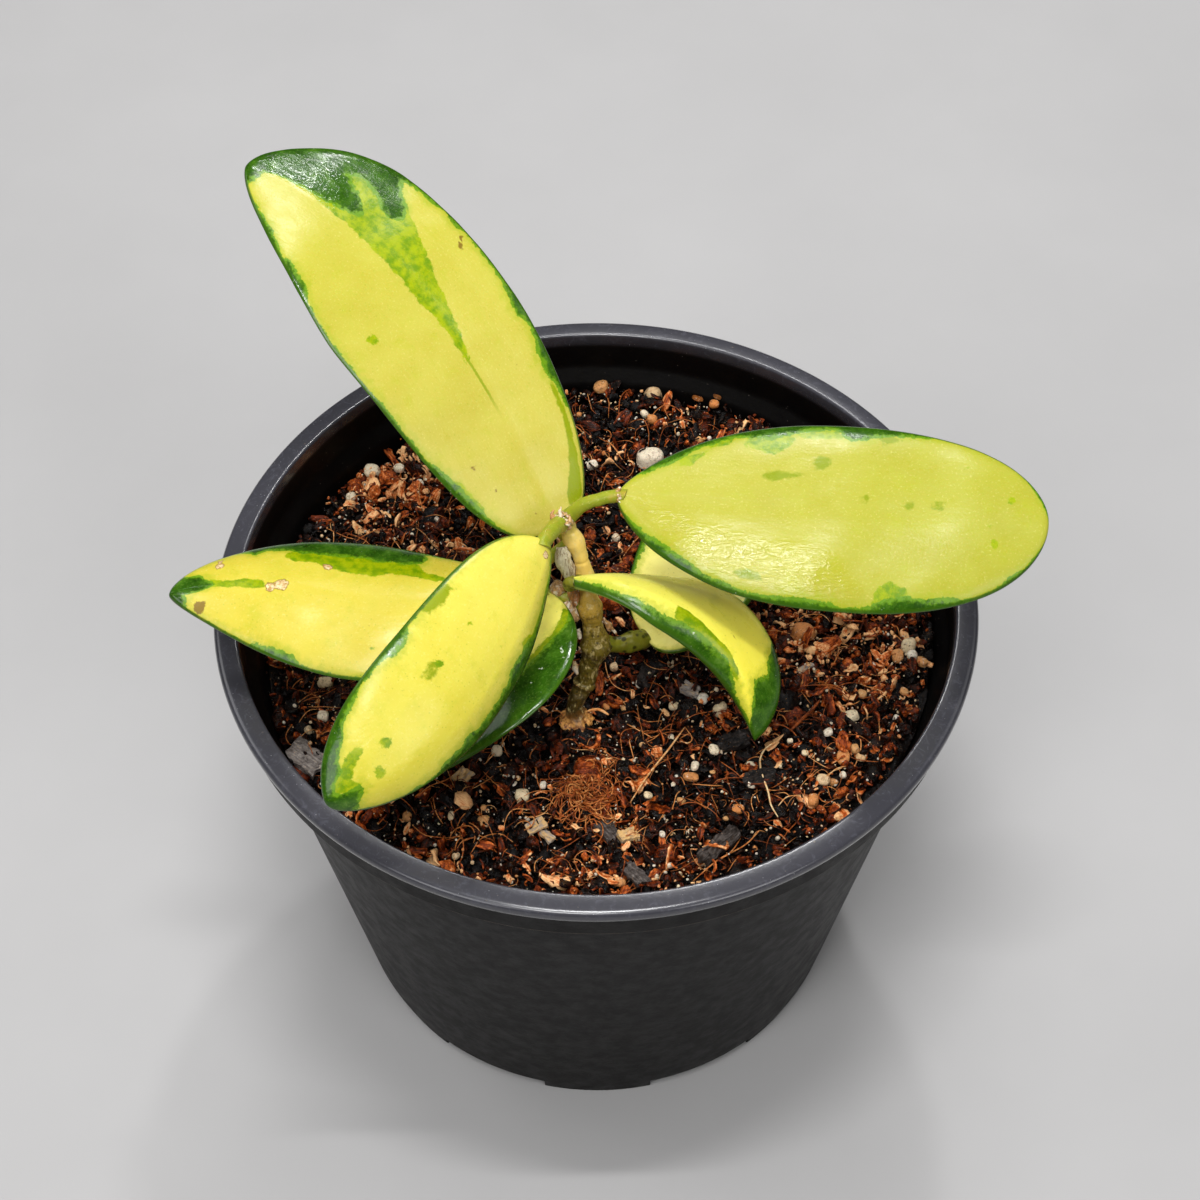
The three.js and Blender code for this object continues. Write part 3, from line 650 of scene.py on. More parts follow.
def leaf_material():
    m = Shading("variegated_leaf")
    blade = m.attribute("blade", "Vector")

    def wander(size, reach, detail=3.0, warp=0.0):
        """Noise around nothing, about reach millimetres either way."""
        return (m.noise(size, detail, 0.62, blade, warp=warp) - 0.5) * (6 * reach)

    fine = wander(0.4, 0.12)
    ragged = wander(1.9, 0.3, 4, warp=0.5) + fine

    def area(kind, softness, rough=1.0):
        """1 inside the patches of a kind, with ragged edges."""
        return m.ramp(m.attribute(kind) + ragged * rough, -softness, softness)

    # flesh: each leaf's flesh colour, with painted light in it, then slow clouds, a fine net of
    # paler and greener cells, greener towards green tissue
    flesh = m.attribute("flesh", "Color")
    clouds = m.noise(8, 4, 0.55, blade)
    flesh = m.mix(m.ramp(clouds, 0.35, 0.7, 0, 0.22), flesh, "#e2d65c", "MULTIPLY")
    flesh = m.mix(m.ramp(m.noise(3.2, 4, 0.65, blade), 0.5, 0.8, 0, 0.38), flesh, "#a3ab1c")
    grain = m.noise(0.33, 2, 0.5, blade)
    flesh = m.mix(m.ramp(grain, 0.55, 0.78, 0, 0.26), flesh, "#e6df8c")
    pores = m.ramp(m.cells(0.75, blade), 0.2, 0.08) * m.ramp(clouds, 0.4, 0.6, 0.2, 0.45)
    flesh = m.mix(pores, flesh, "#8f9a1a")
    green = m.attribute("green")
    flesh = m.mix(m.ramp(green + wander(1.1, 0.5), -1.5, 0.1) * 0.55, flesh, "#93a114")

    # pale green patches, a thin midrib, and mottled lime ones
    tone = m.mix(area("pale", 0.25, 0.8) * 0.95, flesh, "#808e04")
    off_vein = m.math("ABSOLUTE", m.attribute("off_vein") + fine * 0.5)
    tone = m.mix(m.ramp(off_vein, 0.32, 0.12) * m.attribute("vein") * 0.8, tone, "#7c8e08")
    lime = m.mix(m.ramp(m.noise(1.6, 5, 0.62, blade), 0.34, 0.62), "#648602", "#94a205")
    lime = m.mix(m.ramp(m.cells(0.55, blade), 0.24, 0.12) * 0.25, lime, "#b4b62c")
    tone = m.mix(area("lime", 0.14), tone, lime)

    # green tissue: light at its edge, then patchy, darkest further in
    deep = m.gradient(m.noise(2.6, 5, 0.68, blade), (0.3, "#1c3a08"), (0.5, "#2c520c"),
                      (0.62, "#3d6414"), (0.75, "#587a2e"))
    depth = m.ramp(green + wander(1.0, 0.45), 0.15, 1.0)
    deep = m.mix(depth, m.mix(m.noise(0.9, 3, 0.6, blade), "#4c7a0c", "#6f9414"), deep)
    deep = m.mix(m.ramp(grain, 0.5, 0.8, 0, 0.35), deep, "#6c8f38")
    tone = m.mix(m.ramp(green + ragged, -0.09, 0.09), tone, deep)
    line = m.ramp(m.attribute("edge") + fine * 1.2, 0.9, 1.9, 1, 0)
    tone = m.mix(line * 0.85, tone, "#34560f")

    # marks: brown spots, corky scars, white flecks that are painted glints, pale specks on the
    # green tissue that are dust with painted glints, and a paler underside
    tone = m.mix(m.ramp(m.attribute("spot") + fine, -0.1, 0.12) * 0.85, tone, "#6e5012")
    scar_field = m.attribute("scar") + ragged * 0.8
    scar = m.ramp(scar_field, -0.05, 0.08)
    cork = m.mix(m.ramp(m.noise(0.5, 4, 0.65, blade), 0.35, 0.62), "#ad8040", "#e6d2a0")
    rim = m.mix(m.noise(0.8, 2, 0.5, blade), "#7c4f1a", "#b08a3e")
    tone = m.mix(scar, tone, m.mix(m.ramp(scar_field, 0.0, 0.22), rim, cork))
    # pale specks on the green tissue: dust, with painted glints
    dust = m.ramp(m.cells(0.9, blade), 0.1, 0.04) * depth
    dust = dust * m.ramp(m.noise(4, 2, 0.5, blade), 0.45, 0.6)
    # white flecks: painted glints on the dark green
    fleck = m.ramp(m.attribute("fleck") + fine, -0.05, 0.05)
    tone = m.mix(m.math("MAXIMUM", fleck, dust * 0.5), tone, "#c3ccb4")
    under = m.attribute("under")
    tone = m.mix(under * 0.45, tone, "#a5a94c")

    # waxy skin: fine dimples and ribs, folds where it is crinkled, and lumpy scars
    crinkle = m.ramp(m.attribute("crinkle"), -2.2, 1.0)
    normal = m.bump(m.noise(0.42, 2, 0.5, blade), 0.014)
    normal = m.bump(m.noise(1.6, 3, 0.55, blade, stretch=(0.35, 1, 1)), 0.05, normal)
    folds = m.noise(0.9, 3, 0.6, blade, stretch=(0.5, 1.3, 1), warp=0.8) * crinkle
    normal = m.bump(folds, 0.13, normal)
    normal = m.bump(scar * m.noise(0.5, 3, 0.6, blade), 0.25, normal)
    roughness = (m.ramp(m.noise(3, 3, 0.6, blade), 0.3, 0.7, 0.26, 0.33)
                 - m.math("MAXIMUM", crinkle, depth) * 0.14
                 + m.math("MAXIMUM", scar, under) * 0.2)
    return m.finish(color=tone, roughness=roughness, normal=normal, specular=0.3,
                    subsurface=0.06, subsurface_scale=0.0015)


def petiole_material():
    m = Shading("petiole_skin")
    streaks = m.noise(1.2, 4, 0.6)
    tone = m.mix(streaks, "#75861a", "#9a9c26")
    tone = m.mix(m.ramp(m.noise(2.5, 2), 0.5, 0.75, 0, 0.7), tone, "#ab8f30")
    tone = m.mix(m.ramp(m.noise(0.4, 2), 0.6, 0.72, 0, 0.5), tone, "#c9c268")
    olive = m.ramp(m.attribute("olive"), 0.3, 0.8)
    tone = m.mix(olive * 0.8, tone, m.mix(streaks, "#4a4d08", "#807a22"))
    blots = m.ramp(m.cells(1.2), 0.42, 0.26)
    tone = m.mix(blots * olive * 0.85, tone, "#1c1f05")
    crust = m.ramp(m.attribute("along") + m.noise(0.7, 3) * 0.12, 1.0, 1.06)
    tone = m.mix(crust, tone, m.mix(m.noise(0.4, 3), "#b98d63", "#ecdcc0"))
    return m.finish(color=tone, roughness=0.36, normal=m.bump(m.noise(0.5, 3, 0.6), 0.08),
                    specular=0.3, subsurface=0.05, subsurface_scale=0.001)


OLIVE = {"leaf_under_right": 1.0, "leaf_curled": 1.6}  # how dark a green the petiole is
PETIOLE_RINGS = 60
PETIOLE_SIDES = 20


def make_petioles(midribs, material):
    """All petioles, thickest at their ends, each from the stem to inside its blade."""
    t = np.linspace(0, 1, PETIOLE_RINGS)
    tubes, olive = [], []
    for name, leaf in LEAVES.items():
        midrib = midribs[name]
        route = [leaf["node"], *([leaf["via"]] if "via" in leaf else []), leaf["base"],
                 midrib[len(midrib) // 40]]
        path = catmull(route, PETIOLE_RINGS)
        radii = leaf["petiole"] * (0.9 + 0.22 * bell(t - 0.9, 0.1) + 0.25 * bell(t, 0.22))
        knobbly = name == "leaf_under_right"
        radii += knobbly * (0.35 * bell(t - 0.5, 0.16) - 0.3 * bell(t - 0.22, 0.08))
        radii *= np.sqrt(1 - smoothstep(t, 0.93, 1.001) * 0.96)
        rings = tube_points(path, radii, PETIOLE_SIDES)
        lumps = (0.05 + 0.1 * knobbly) * Waves(7, 1.6)(rings)
        tubes.append(rings + lumps[..., None] * unit(rings - path[:, None]))
        olive.append(OLIVE.get(name, 0) * (1 - 0.5 * t))
    piece = make_tubes("petioles", tubes, material, olive=np.repeat(olive, PETIOLE_SIDES),
                       along=np.tile(np.repeat(t, PETIOLE_SIDES), len(tubes)))
    settle(piece, "leaf_tissue")


# ---------------------------------------------------------------- stem

STEM_FOOT = (-3, -19.3, 76)
STEM_ROUTE = [(-3, -19.3, 73), (-3.1, -18.9, 77.5), (-3.2, -18.3, 80.6), (-1.8, -17.1, 84.1),
              (-1, -16.1, 87.3), (-0.1, -15, 90.8), (-0.6, -13.9, 94.2), (-0.9, -12.9, 97.2),
              (-1.6, -11.2, 102.4), (-2.4, -10, 106), (-3.3, -9.1, 108.3), (-4.6, -8, 111.6),
              (-5.2, -7.7, 112.8)]
STEM_RINGS = 260
STEM_SIDES = 36
# (height, how much wider in mm, how tall in mm): callus, ring scars and nodes
STEM_SWELLINGS = [(77.2, 1.25, 1.25), (84.1, 0.3, 0.5), (90.8, 0.85, 1.6), (97.2, 0.4, 1.4),
                  (102.4, 0.3, 1.2), (108.3, 0.45, 1.3), (111.6, 0.35, 1.1)]
STEM_SCARS = [83.2, 84.6, 87.9, 94.6, 95.1, 100.2, 105.2, 109.9]  # heights of fine grooves
STEM_GIRTH = [(73, 1.35), (80, 1.3), (86, 1.5), (92, 1.6), (97, 1.45), (102, 1.15), (108, 1.15),
              (113, 1.1)]  # (height, radius)
SMOOTH_SKIN = (97, 101)  # heights between which bark gives way to smooth skin


def stem_material():
    m = Shading("stem_bark")
    height = m.attribute("height")
    wobble = (m.noise(2.2, 4, 0.6) - 0.5) * 4
    level = m.math("DIVIDE", height + wobble - 74, 40)
    tone = m.gradient(level, (0.0, "#6e431d"), (0.1, "#8e5c26"), (0.17, "#463712"),
                      (0.28, "#62541a"), (0.4, "#5c5114"), (0.5, "#8a7620"), (0.6, "#c9a23c"),
                      (0.72, "#e6bf5a"), (0.88, "#edcb6c"), (0.97, "#c4b94e"))

    # bark: mottled, streaked, speckled and pitted, and nearly plain higher up
    mottle = m.noise(0.8, 4, 0.65)
    marked = 1.0 - m.ramp(height, *SMOOTH_SKIN) * 0.85
    tone = m.mix(m.ramp(mottle, 0.5, 0.68, 0, 0.7) * marked, tone, "#2c240c")
    streaks = m.noise(0.5, 3, 0.6, stretch=(1, 1, 0.25))
    tone = m.mix(m.ramp(streaks, 0.52, 0.68, 0, 0.6), tone, "#dcc684")
    tone = m.mix(m.ramp(m.noise(0.22, 2), 0.62, 0.68, 0, 0.6) * marked, tone, "#8c5a2a")
    pits = m.ramp(m.cells(0.95), 0.26, 0.14)
    tone = m.mix(pits * marked * 0.6, tone, "#231c08")

    # callus at the foot, and crumbly tissue
    callus_tone = m.mix(m.ramp(m.noise(0.7, 4, 0.65), 0.35, 0.62), "#6a340e", "#e2a458")
    tone = m.mix(m.ramp(height + wobble * 0.5, 79.3, 78.2), tone, callus_tone)
    crust_tone = m.mix(m.ramp(m.noise(0.5, 4, 0.65), 0.4, 0.62), "#b5713e", "#eac49c")
    tone = m.mix(m.ramp(m.attribute("crust") + m.noise(0.6, 3), 0.85, 1.1), tone, crust_tone)
    normal = m.bump(m.noise(0.9, 4, 0.65) * marked, 0.28)
    normal = m.bump(m.noise(0.35, 3, 0.6, stretch=(1, 1, 0.3)), 0.1, normal)
    return m.finish(color=tone, roughness=m.ramp(mottle, 0.3, 0.7, 0.28, 0.5), normal=normal)


def make_stem(material):
    path = catmull(STEM_ROUTE, STEM_RINGS)
    heights = path[:, 2]
    radii = np.interp(heights, *zip(*STEM_GIRTH))
    for height, wider, tall in STEM_SWELLINGS:
        radii = radii + wider * bell(heights - height, tall)
    for height in STEM_SCARS:
        radii = radii - 0.1 * bell(heights - height, 0.22)
    radii *= np.sqrt(1 - smoothstep(heights, 112.2, 112.85) * 0.97)  # the top closes
    rings = tube_points(path, radii, STEM_SIDES)
    outward = unit(rings - path[:, None])
    woody = (1 - 0.6 * smoothstep(heights, *SMOOTH_SKIN))[:, None]
    callus = bell(heights - 77.3, 1.3)[:, None]
    lumps = (woody * (0.13 * Waves(3, 3.2)(rings) + 0.06 * Waves(4, 1.1)(rings))
             + callus * (0.4 * Waves(5, 1.5)(rings) + 0.3 * Waves(6, 0.7)(rings)))
    rings = rings + outward * lumps[..., None]
    crust = bell(heights - 111.8, 1.0) + 0.3 * bell(heights - 84.1, 0.4)
    piece = make_tubes("stem_wood", [rings], material, height=rings[..., 2].ravel(),
                       crust=np.repeat(crust, STEM_SIDES))
    settle(piece, "stem_bark", "stem")


# dry scales: (their middle line as pixel of the photograph and height in mm, widths along it, tone)
SCALES = [
    ([(562, 547, 108.8), (563, 559, 106.8), (568, 571, 104.3), (573, 580, 102.4)],
     (1.5, 2.5, 2.4, 1.2), 1.0),
    ([(557, 580.5, 100.2), (557.5, 589, 99.6), (559, 598, 98.4)], (1.0, 2.4, 2.5, 1.1), 0.4),
    ([(569, 584, 101.8), (574, 594, 100.4), (575, 606, 98.6)], (0.8, 1.8, 1.6, 0.6), 0.0),
    ([(565, 602, 99), (571, 610, 98), (577, 621, 96.3)], (0.9, 1.8, 0.9), 0.5),
    ([(578, 629, 95.2), (579, 634, 94.5), (580, 639, 93.8)], (0.5, 0.9, 0.4), 1.0),
    ([(603, 618, 94.4), (610, 627, 93), (617, 633, 92)], (0.5, 0.9, 0.4), 0.25),
    ([(575, 661, 88.6), (575.5, 668, 87.8), (577, 675, 86.9)], (0.5, 1.0, 0.4), 0.7),
    ([(561, 517, 114.2), (560, 512, 114.8), (561, 507, 115.4)], (0.8, 0.6, 0.2), 0.45),
    ([(553, 519, 114), (552, 514, 114.6), (554, 510, 115)], (0.8, 0.6, 0.2), 0.2),
    ([(567, 525, 114), (570, 520, 114.6), (569, 515, 115)], (0.8, 0.6, 0.2), 0.45),
]
SCALE_STEPS = 14
SCALE_ACROSS = 7
SCALE_THICKNESS = 0.22
# crusts of dry tissue where petioles join: (centre, radii in mm, how many bits, their size in mm)
CRUSTS = [((-5.0, -9.3, 112.7), (1.4, 1.3, 1.3), 150, 0.58),
          ((3.4, -8.1, 117.1), (0.35, 1.2, 1.1), 60, 0.42)]


def sight(px, py):
    """Direction of the line of sight through a pixel of the photograph."""
    return Euler([math.radians(a) for a in CAMERA_EULER]).to_matrix() @ Vector(
        (SENSOR * (px / PHOTO_SIDE - 0.5) / LENS, SENSOR * (0.5 - py / PHOTO_SIDE) / LENS, -1))


def at_height(px, py, height):
    """The place at this height that shows at a pixel of the photograph."""
    ray = sight(px, py)
    return tuple(Vector(CAMERA_PLACE) + ray * ((height - CAMERA_PLACE[2]) / ray.z))


def make_scales(material):
    """Thin curled scales of dry bark and bud, joined in one piece."""
    t = np.linspace(0, 1, SCALE_STEPS)
    v = np.linspace(-1, 1, SCALE_ACROSS)[:, None]
    tubes, tones = [], []
    for index, (route, widths, tone) in enumerate(SCALES):
        path = catmull([at_height(*stop) for stop in route], SCALE_STEPS)
        width = np.interp(t, np.linspace(0, 1, len(widths)), widths)[:, None, None]
        tangent = unit(np.gradient(path, axis=0))[:, None]
        across = unit(np.cross(tangent, -np.array(sight(*route[1][:2]))))
        out = np.cross(across, tangent)
        sheet = path[:, None] + across * v * width / 2 - out * (v ** 2 - 0.5) * width * 0.3
        sheet = sheet + 0.1 * Waves(90 + index, 1.2)(sheet)[..., None]
        thick = out * SCALE_THICKNESS / 2
        tubes.append(np.concatenate([sheet + thick, (sheet - thick)[:, ::-1]], axis=1))
        tones.append(tone)
    piece = make_tubes("stem_scales", tubes, material,
                       tone=np.repeat(tones, 2 * SCALE_STEPS * SCALE_ACROSS))
    settle(piece, "stem_bark")


def make_crusts(material):
    """Crumbly dry tissue at the top node and where the right leaf's petiole ends."""
    random = np.random.default_rng(17)
    points, faces = ball_template(1)
    shapes, places, tones = [], [], []
    for centre, radii, count, size in CRUSTS:
        places.append(centre + unit(random.normal(size=(count, 3))) * radii)
        sizes = size * random.lognormal(0, 0.3, (count, 1)) * random.uniform(0.4, 1.3, (count, 3))
        jags = random.normal(0, 0.2, (count, len(points), 1))
        shapes.append(points * (1 + jags) * sizes[:, None])
        tones.append(random.uniform(0.2, 0.9, (count, 1)))
    places = np.vstack(places)
    turns = turn_matrices(*random.uniform(-np.pi, np.pi, (3, len(places))))
    lay_out("stem_crust", np.vstack(shapes), faces, places, turns, np.vstack(tones), material,
            slot="stem_bark")


def scale_material():
    m = Shading("dry_scale")
    tone = m.gradient(m.attribute("tone"), (0, "#b97a42"), (0.4, "#c79a5e"), (0.7, "#cbb080"),
                      (1, "#cfc5a8"))
    streaks = m.noise(0.6, 3, 0.6, stretch=(1.8, 1.8, 0.22))
    tone = m.mix(m.ramp(streaks, 0.46, 0.58, 0, 0.7), tone, "#7c5834")
    tone = m.mix(m.ramp(m.noise(0.9, 3), 0.5, 0.62, 0, 0.7), tone, "#f4ecd8")
    return m.finish(color=tone, roughness=0.34, normal=m.bump(streaks, 0.12))


# ---------------------------------------------------------------- pot

POT_HEIGHT = 86
COLLAR_FOOT = 78.4
LIP_FOOT = 83.8
BODY_TOP_RADIUS = 55.6
BASE_RADIUS = 42.1
WALL = 1.4
FLOOR = 2
FOOT_COUNT = 7
FOOT_HEIGHT = 3.6
FOOT_HALF_ANGLE = math.radians(12.5)
SLOT_INNER_RADIUS = 37.5
COLLAR_RADIUS = 58.4
LIP_RADIUS = 60
MOUTH_RADIUS = 56.2  # inside the lip
POT_SIDES = 252


def body_radius(z):
    return BASE_RADIUS + (BODY_TOP_RADIUS - BASE_RADIUS) * z / COLLAR_FOOT


def inner_radius(z):
    return body_radius(z) - WALL


def rounded(profile, steps=6):
    """The profile with each corner (r, z, rounding) eased by that length."""
    out = []
    for index, (r, z, ease) in enumerate(profile):
        corner = np.array([r, z], float)
        if not ease:
            out.append(corner)
            continue
        before, after = (np.array(profile[index + k][:2], float) for k in (-1, 1))
        start = corner + ease * unit(before - corner)
        end = corner + ease * unit(after - corner)
        for t in np.linspace(0, 1, steps):
            out.append((1 - t) ** 2 * start + 2 * t * (1 - t) * corner + t ** 2 * end)
    return np.array(out)


def lathe(name, profile, sides, material):
    """A turned solid. The profile starts and ends on the axis."""
    angles = np.linspace(0, 2 * np.pi, sides, endpoint=False)
    inner = profile[1:-1]
    rings = np.stack([inner[:, :1] * np.cos(angles), inner[:, :1] * np.sin(angles),
                      np.repeat(inner[:, 1:], sides, axis=1)], -1)
    return make_mesh(name, rings.reshape(-1, 3), tube_faces(len(inner), sides), material)


def slot_cutter(middle, half_angle):
    """A ring sector that cuts one drainage slot."""
    steps = np.linspace(middle - half_angle, middle + half_angle, 20)
    outer, inner = BASE_RADIUS + 8, SLOT_INNER_RADIUS
    rim = [(outer * math.cos(a), outer * math.sin(a)) for a in steps]
    rim += [(inner * math.cos(a), inner * math.sin(a)) for a in steps[::-1]]
    points = [(x, y, z) for z in (-1, FOOT_HEIGHT) for x, y in rim]
    count = len(rim)
    faces = [list(range(count))[::-1], list(range(count, 2 * count))]
    faces += [[k, (k + 1) % count, count + (k + 1) % count, count + k] for k in range(count)]
    return points, faces


def make_pot(material):
    """The shell, turned from its profile, with the slots between the feet cut out."""
    skirt = COLLAR_FOOT - 0.4
    pot = lathe("pot_shell", rounded([
        (0, 0, 0), (body_radius(0) - 0.4, 0, 0.5),
        (body_radius(FOOT_HEIGHT) - 0.4, FOOT_HEIGHT - 0.3, 0.1),
        (body_radius(FOOT_HEIGHT), FOOT_HEIGHT, 0.12), (body_radius(skirt), skirt, 0.25),
        (COLLAR_RADIUS, COLLAR_FOOT, 0.35), (COLLAR_RADIUS + 0.3, LIP_FOOT - 0.2, 0.2),
        (LIP_RADIUS - 0.3, LIP_FOOT, 0.45), (LIP_RADIUS, POT_HEIGHT - 0.35, 1.2),
        (MOUTH_RADIUS, POT_HEIGHT, 0.55), (MOUTH_RADIUS - 0.45, COLLAR_FOOT + 0.6, 0.6),
        (inner_radius(COLLAR_FOOT - 2), COLLAR_FOOT - 2, 0.6), (inner_radius(FLOOR), FLOOR, 0.8),
        (0, FLOOR, 0)]), POT_SIDES, material)
    pitch = 2 * math.pi / FOOT_COUNT
    points, faces = [], []
    for index in range(FOOT_COUNT):
        middle = (index + 0.5) * pitch - math.pi / 2
        more, sides = slot_cutter(middle, pitch / 2 - FOOT_HALF_ANGLE)
        faces += [[k + len(points) for k in side] for side in sides]
        points += more
    cutter = make_mesh("slot_cutter", points, faces, material, smooth=False)
    cut = pot.modifiers.new("slots", "BOOLEAN")
    cut.operation = "DIFFERENCE"
    cut.solver = "EXACT"
    cut.object = cutter
    bpy.context.view_layer.update()
    carved = bpy.data.meshes.new_from_object(
        pot.evaluated_get(bpy.context.evaluated_depsgraph_get()))
    pot.modifiers.clear()
    pot.data = carved
    bpy.data.objects.remove(cutter)
    for polygon in carved.polygons:
        polygon.use_smooth = True
    carved.set_sharp_from_angle(angle=math.radians(40))
    settle(pot, "pot_plastic", "pot")


def pot_material():
    m = Shading("pot_plastic")
    x, y, z = (m.node("SeparateXYZ", {0: m.where}, axis) for axis in range(3))
    radius = m.math("SQRT", x * x + y * y)
    on_lip = m.ramp(z, LIP_FOOT - 0.6, LIP_FOOT + 0.4)
    inside = m.ramp(radius, MOUTH_RADIUS + 0.1, MOUTH_RADIUS - 0.3) * m.ramp(z, 70, 72)
    tone = m.mix(m.noise(22, 4, 0.6), "#080706", "#0e0c0b")
    tone = m.mix(m.ramp(m.noise(5, 4, 0.6), 0.4, 0.75, 0, 0.35), tone, "#1c1917")
    scuffs = m.ramp(m.noise(1.6, 5, 0.7, warp=1.5), 0.5, 0.72)
    # the lip painted paler grey all over, a painted sheen of its glossy top, paler still where
    # scuffed
    tone = m.mix(on_lip * (scuffs * 0.2 + 0.3), tone, "#666670")
    # painted shade: the pot's inner wall above the mix darker
    tone = m.mix(inside * 0.9, tone, "#040303")

    # fine pale dust, short scratches, nicks in the lip, and a pale line along the collar's lower
    # edge, a painted highlight with some grime
    dust = m.ramp(m.cells(1.1), 0.09, 0.04) * m.ramp(m.noise(9, 3, 0.6), 0.45, 0.65)
    tone = m.mix(dust * 0.5, tone, "#857c74")
    lying = m.vector_math("MULTIPLY", m.where, (0.45, 0.45, 2.6))
    scratches = m.ramp(m.cells(1.7, lying), 0.07, 0.03) * m.ramp(m.noise(6, 2), 0.52, 0.62)
    tone = m.mix(scratches * 0.6, tone, "#6d645c")
    steep = m.vector_math("MULTIPLY", m.where, (2.4, 2.4, 0.6))
    nicks = m.ramp(m.cells(2.2, steep), 0.1, 0.03) * on_lip * m.ramp(m.noise(5, 2), 0.4, 0.55)
    tone = m.mix(nicks * 0.6, tone, "#a8a8ae")
    # a pale line along the collar's lower edge: a painted highlight, with some grime
    collar_highlight_and_grime = (m.ramp(z, COLLAR_FOOT - 0.4, COLLAR_FOOT - 0.05)
            * m.ramp(z, COLLAR_FOOT + 0.4, COLLAR_FOOT + 0.05)
            * m.ramp(radius, COLLAR_RADIUS - 0.8, COLLAR_RADIUS - 0.4)
            * m.ramp(m.noise(2.5, 4, 0.7), 0.35, 0.6))
    tone = m.mix(collar_highlight_and_grime * 0.6, tone, "#8a7866")

    rough = m.ramp(m.noise(3, 4, 0.65), 0.3, 0.7, 0.44, 0.56) - on_lip * 0.29
    normal = m.bump(m.noise(0.5, 2), 0.025)
    normal = m.bump(m.noise(7, 3, 0.5), 0.12, normal)
    normal = m.bump(m.math("MAXIMUM", scratches, nicks), 0.05, normal)
    gloss = on_lip * m.ramp(scuffs, 0.0, 1.0, 0.9, 0.5)
    return m.finish(color=tone, roughness=rough, normal=normal, specular=0.12, coat=gloss,
                    coat_roughness=0.2)


# ---------------------------------------------------------------- potting mix

MIX_DEPTH = 9.6
MIX_SLOPE = 0.022
HOLLOW = (-47, -6, 5.5, 90)  # x, y, depth and spread of the gap at the left wall
GROUND_SINK = 2.0  # how far the fine ground lies under the loose bits
GROUND_RINGS = 110
GROUND_SIDES = 300
GROUND_GAP = 0.3  # between the ground and the pot
# the ground's tone, nearly the darkest: painted shade in the gaps under the loose bits
GROUND_SHADE_TONE = 0.1
BITS_REACH = 53  # loose bits have their middles within this radius
STRAIGHT_WALL_TOP = 76.4  # up to here the inside of the pot is a plain cone
WALL_GAP = 0.15  # between loose bits and the pot
# wet and dry patches of the photograph: (x, y, reach, how much drier)
DAMP_PATCHES = [(20, -28, 9, -0.3), (12, -36, 6, -0.25), (-14, -36, 7, -0.2), (14, -11, 5, -0.4),
                (-0.7, -33.3, 5, -0.2), (-4, -45, 7, 0.25), (34, -33, 6, 0.3), (32, -4, 11, 0.45),
                (-33, 34, 11, 1.5), (14, 49, 5, 0.2), (-28, -38, 5, -0.2), (8, 38, 9, -0.35),
                (-38, 19, 8, -0.35), (20, 30, 12, -0.2), (42, -12, 10, 0.25), (25, -10, 8, 0.15)]
CLUMPS = Waves(21, 13)
PITS = Waves(22, 5)
DAMP = Waves(25, 24)


def mix_height(x, y):
    """Height of the mix, as in the CAD source, with small clumps and pits."""
    x, y = np.asarray(x, float), np.asarray(y, float)
    hollow = HOLLOW[2] * np.exp(-((x - HOLLOW[0]) ** 2 + (y - HOLLOW[1]) ** 2) / HOLLOW[3])
    lumps = (0.55 * np.sin(0.31 * x + 1.3) * np.sin(0.27 * y + 0.4)
             + 0.35 * np.sin(0.71 * x - 0.52 * y) + 0.3 * np.sin(0.83 * y + 0.37 * x))
    place = np.stack([x, y, 0 * x], -1)
    clumps = 0.75 * CLUMPS(place) + 0.7 * PITS(place)
    from_stem = np.hypot(x - STEM_FOOT[0], y - STEM_FOOT[1])
    rough = smoothstep(from_stem, 2, 9)
    return POT_HEIGHT - MIX_DEPTH + MIX_SLOPE * (x - y) - hollow + (lumps + clumps) * rough


def dryness(x, y):
    """0 where the mix is dark and damp, 1 where it is dry and orange, more where bone dry."""
    place = np.stack([x, y, 0 * x], -1)
    dry = 0.3 + 0.22 * DAMP(place) + 0.16 * CLUMPS(place)
    dry = dry + 0.25 * smoothstep(x, 10, 45) * smoothstep(y, -30, 0)
    dry = dry + 0.25 * smoothstep(np.hypot(x, y), 44, 51) * smoothstep(-y, 5, 30)
    for at_x, at_y, wide, amount in DAMP_PATCHES:
        dry = dry + amount * np.exp(-((x - at_x) ** 2 + (y - at_y) ** 2) / wide ** 2)
    return dry.clip(0, 1.25)


def on_mix(px, py, lift=0.8):
    """Where the line of sight through a pixel of the photograph meets the loose bits."""
    height = POT_HEIGHT - MIX_DEPTH
    for _ in range(5):
        x, y = at_height(px, py, height)[:2]
        height = float(mix_height(x, y)) + lift
    return x, y, height


def mix_material(name, tones, relief, rough):
    """Husk, bark or fibre. tones are the colours from the darkest bit to the palest."""
    m = Shading(name)
    grain = m.attribute("grain", "Vector")
    strands = m.noise(0.45, 4, 0.65, grain, stretch=(0.22, 1.6, 1.6))
    share = m.attribute("tone") + (strands - 0.5) * 0.9 + (m.noise(0.8, 3) - 0.5) * 0.6
    last = len(tones) - 1
    tone = m.gradient(share, *[(k / last, code) for k, code in enumerate(tones)])
    tone = m.mix(m.ramp(m.noise(0.26, 2), 0.68, 0.74, 0, 0.7), tone, "#b98a5c")
    normal = m.bump(strands, relief)
    normal = m.bump(m.noise(0.35, 3, 0.65), 0.12, normal)
    roughness = m.ramp(m.noise(1.1, 3), 0.35, 0.65, rough - 0.2, rough + 0.15)
    return m.finish(color=tone, roughness=roughness, normal=normal, specular=0.22)


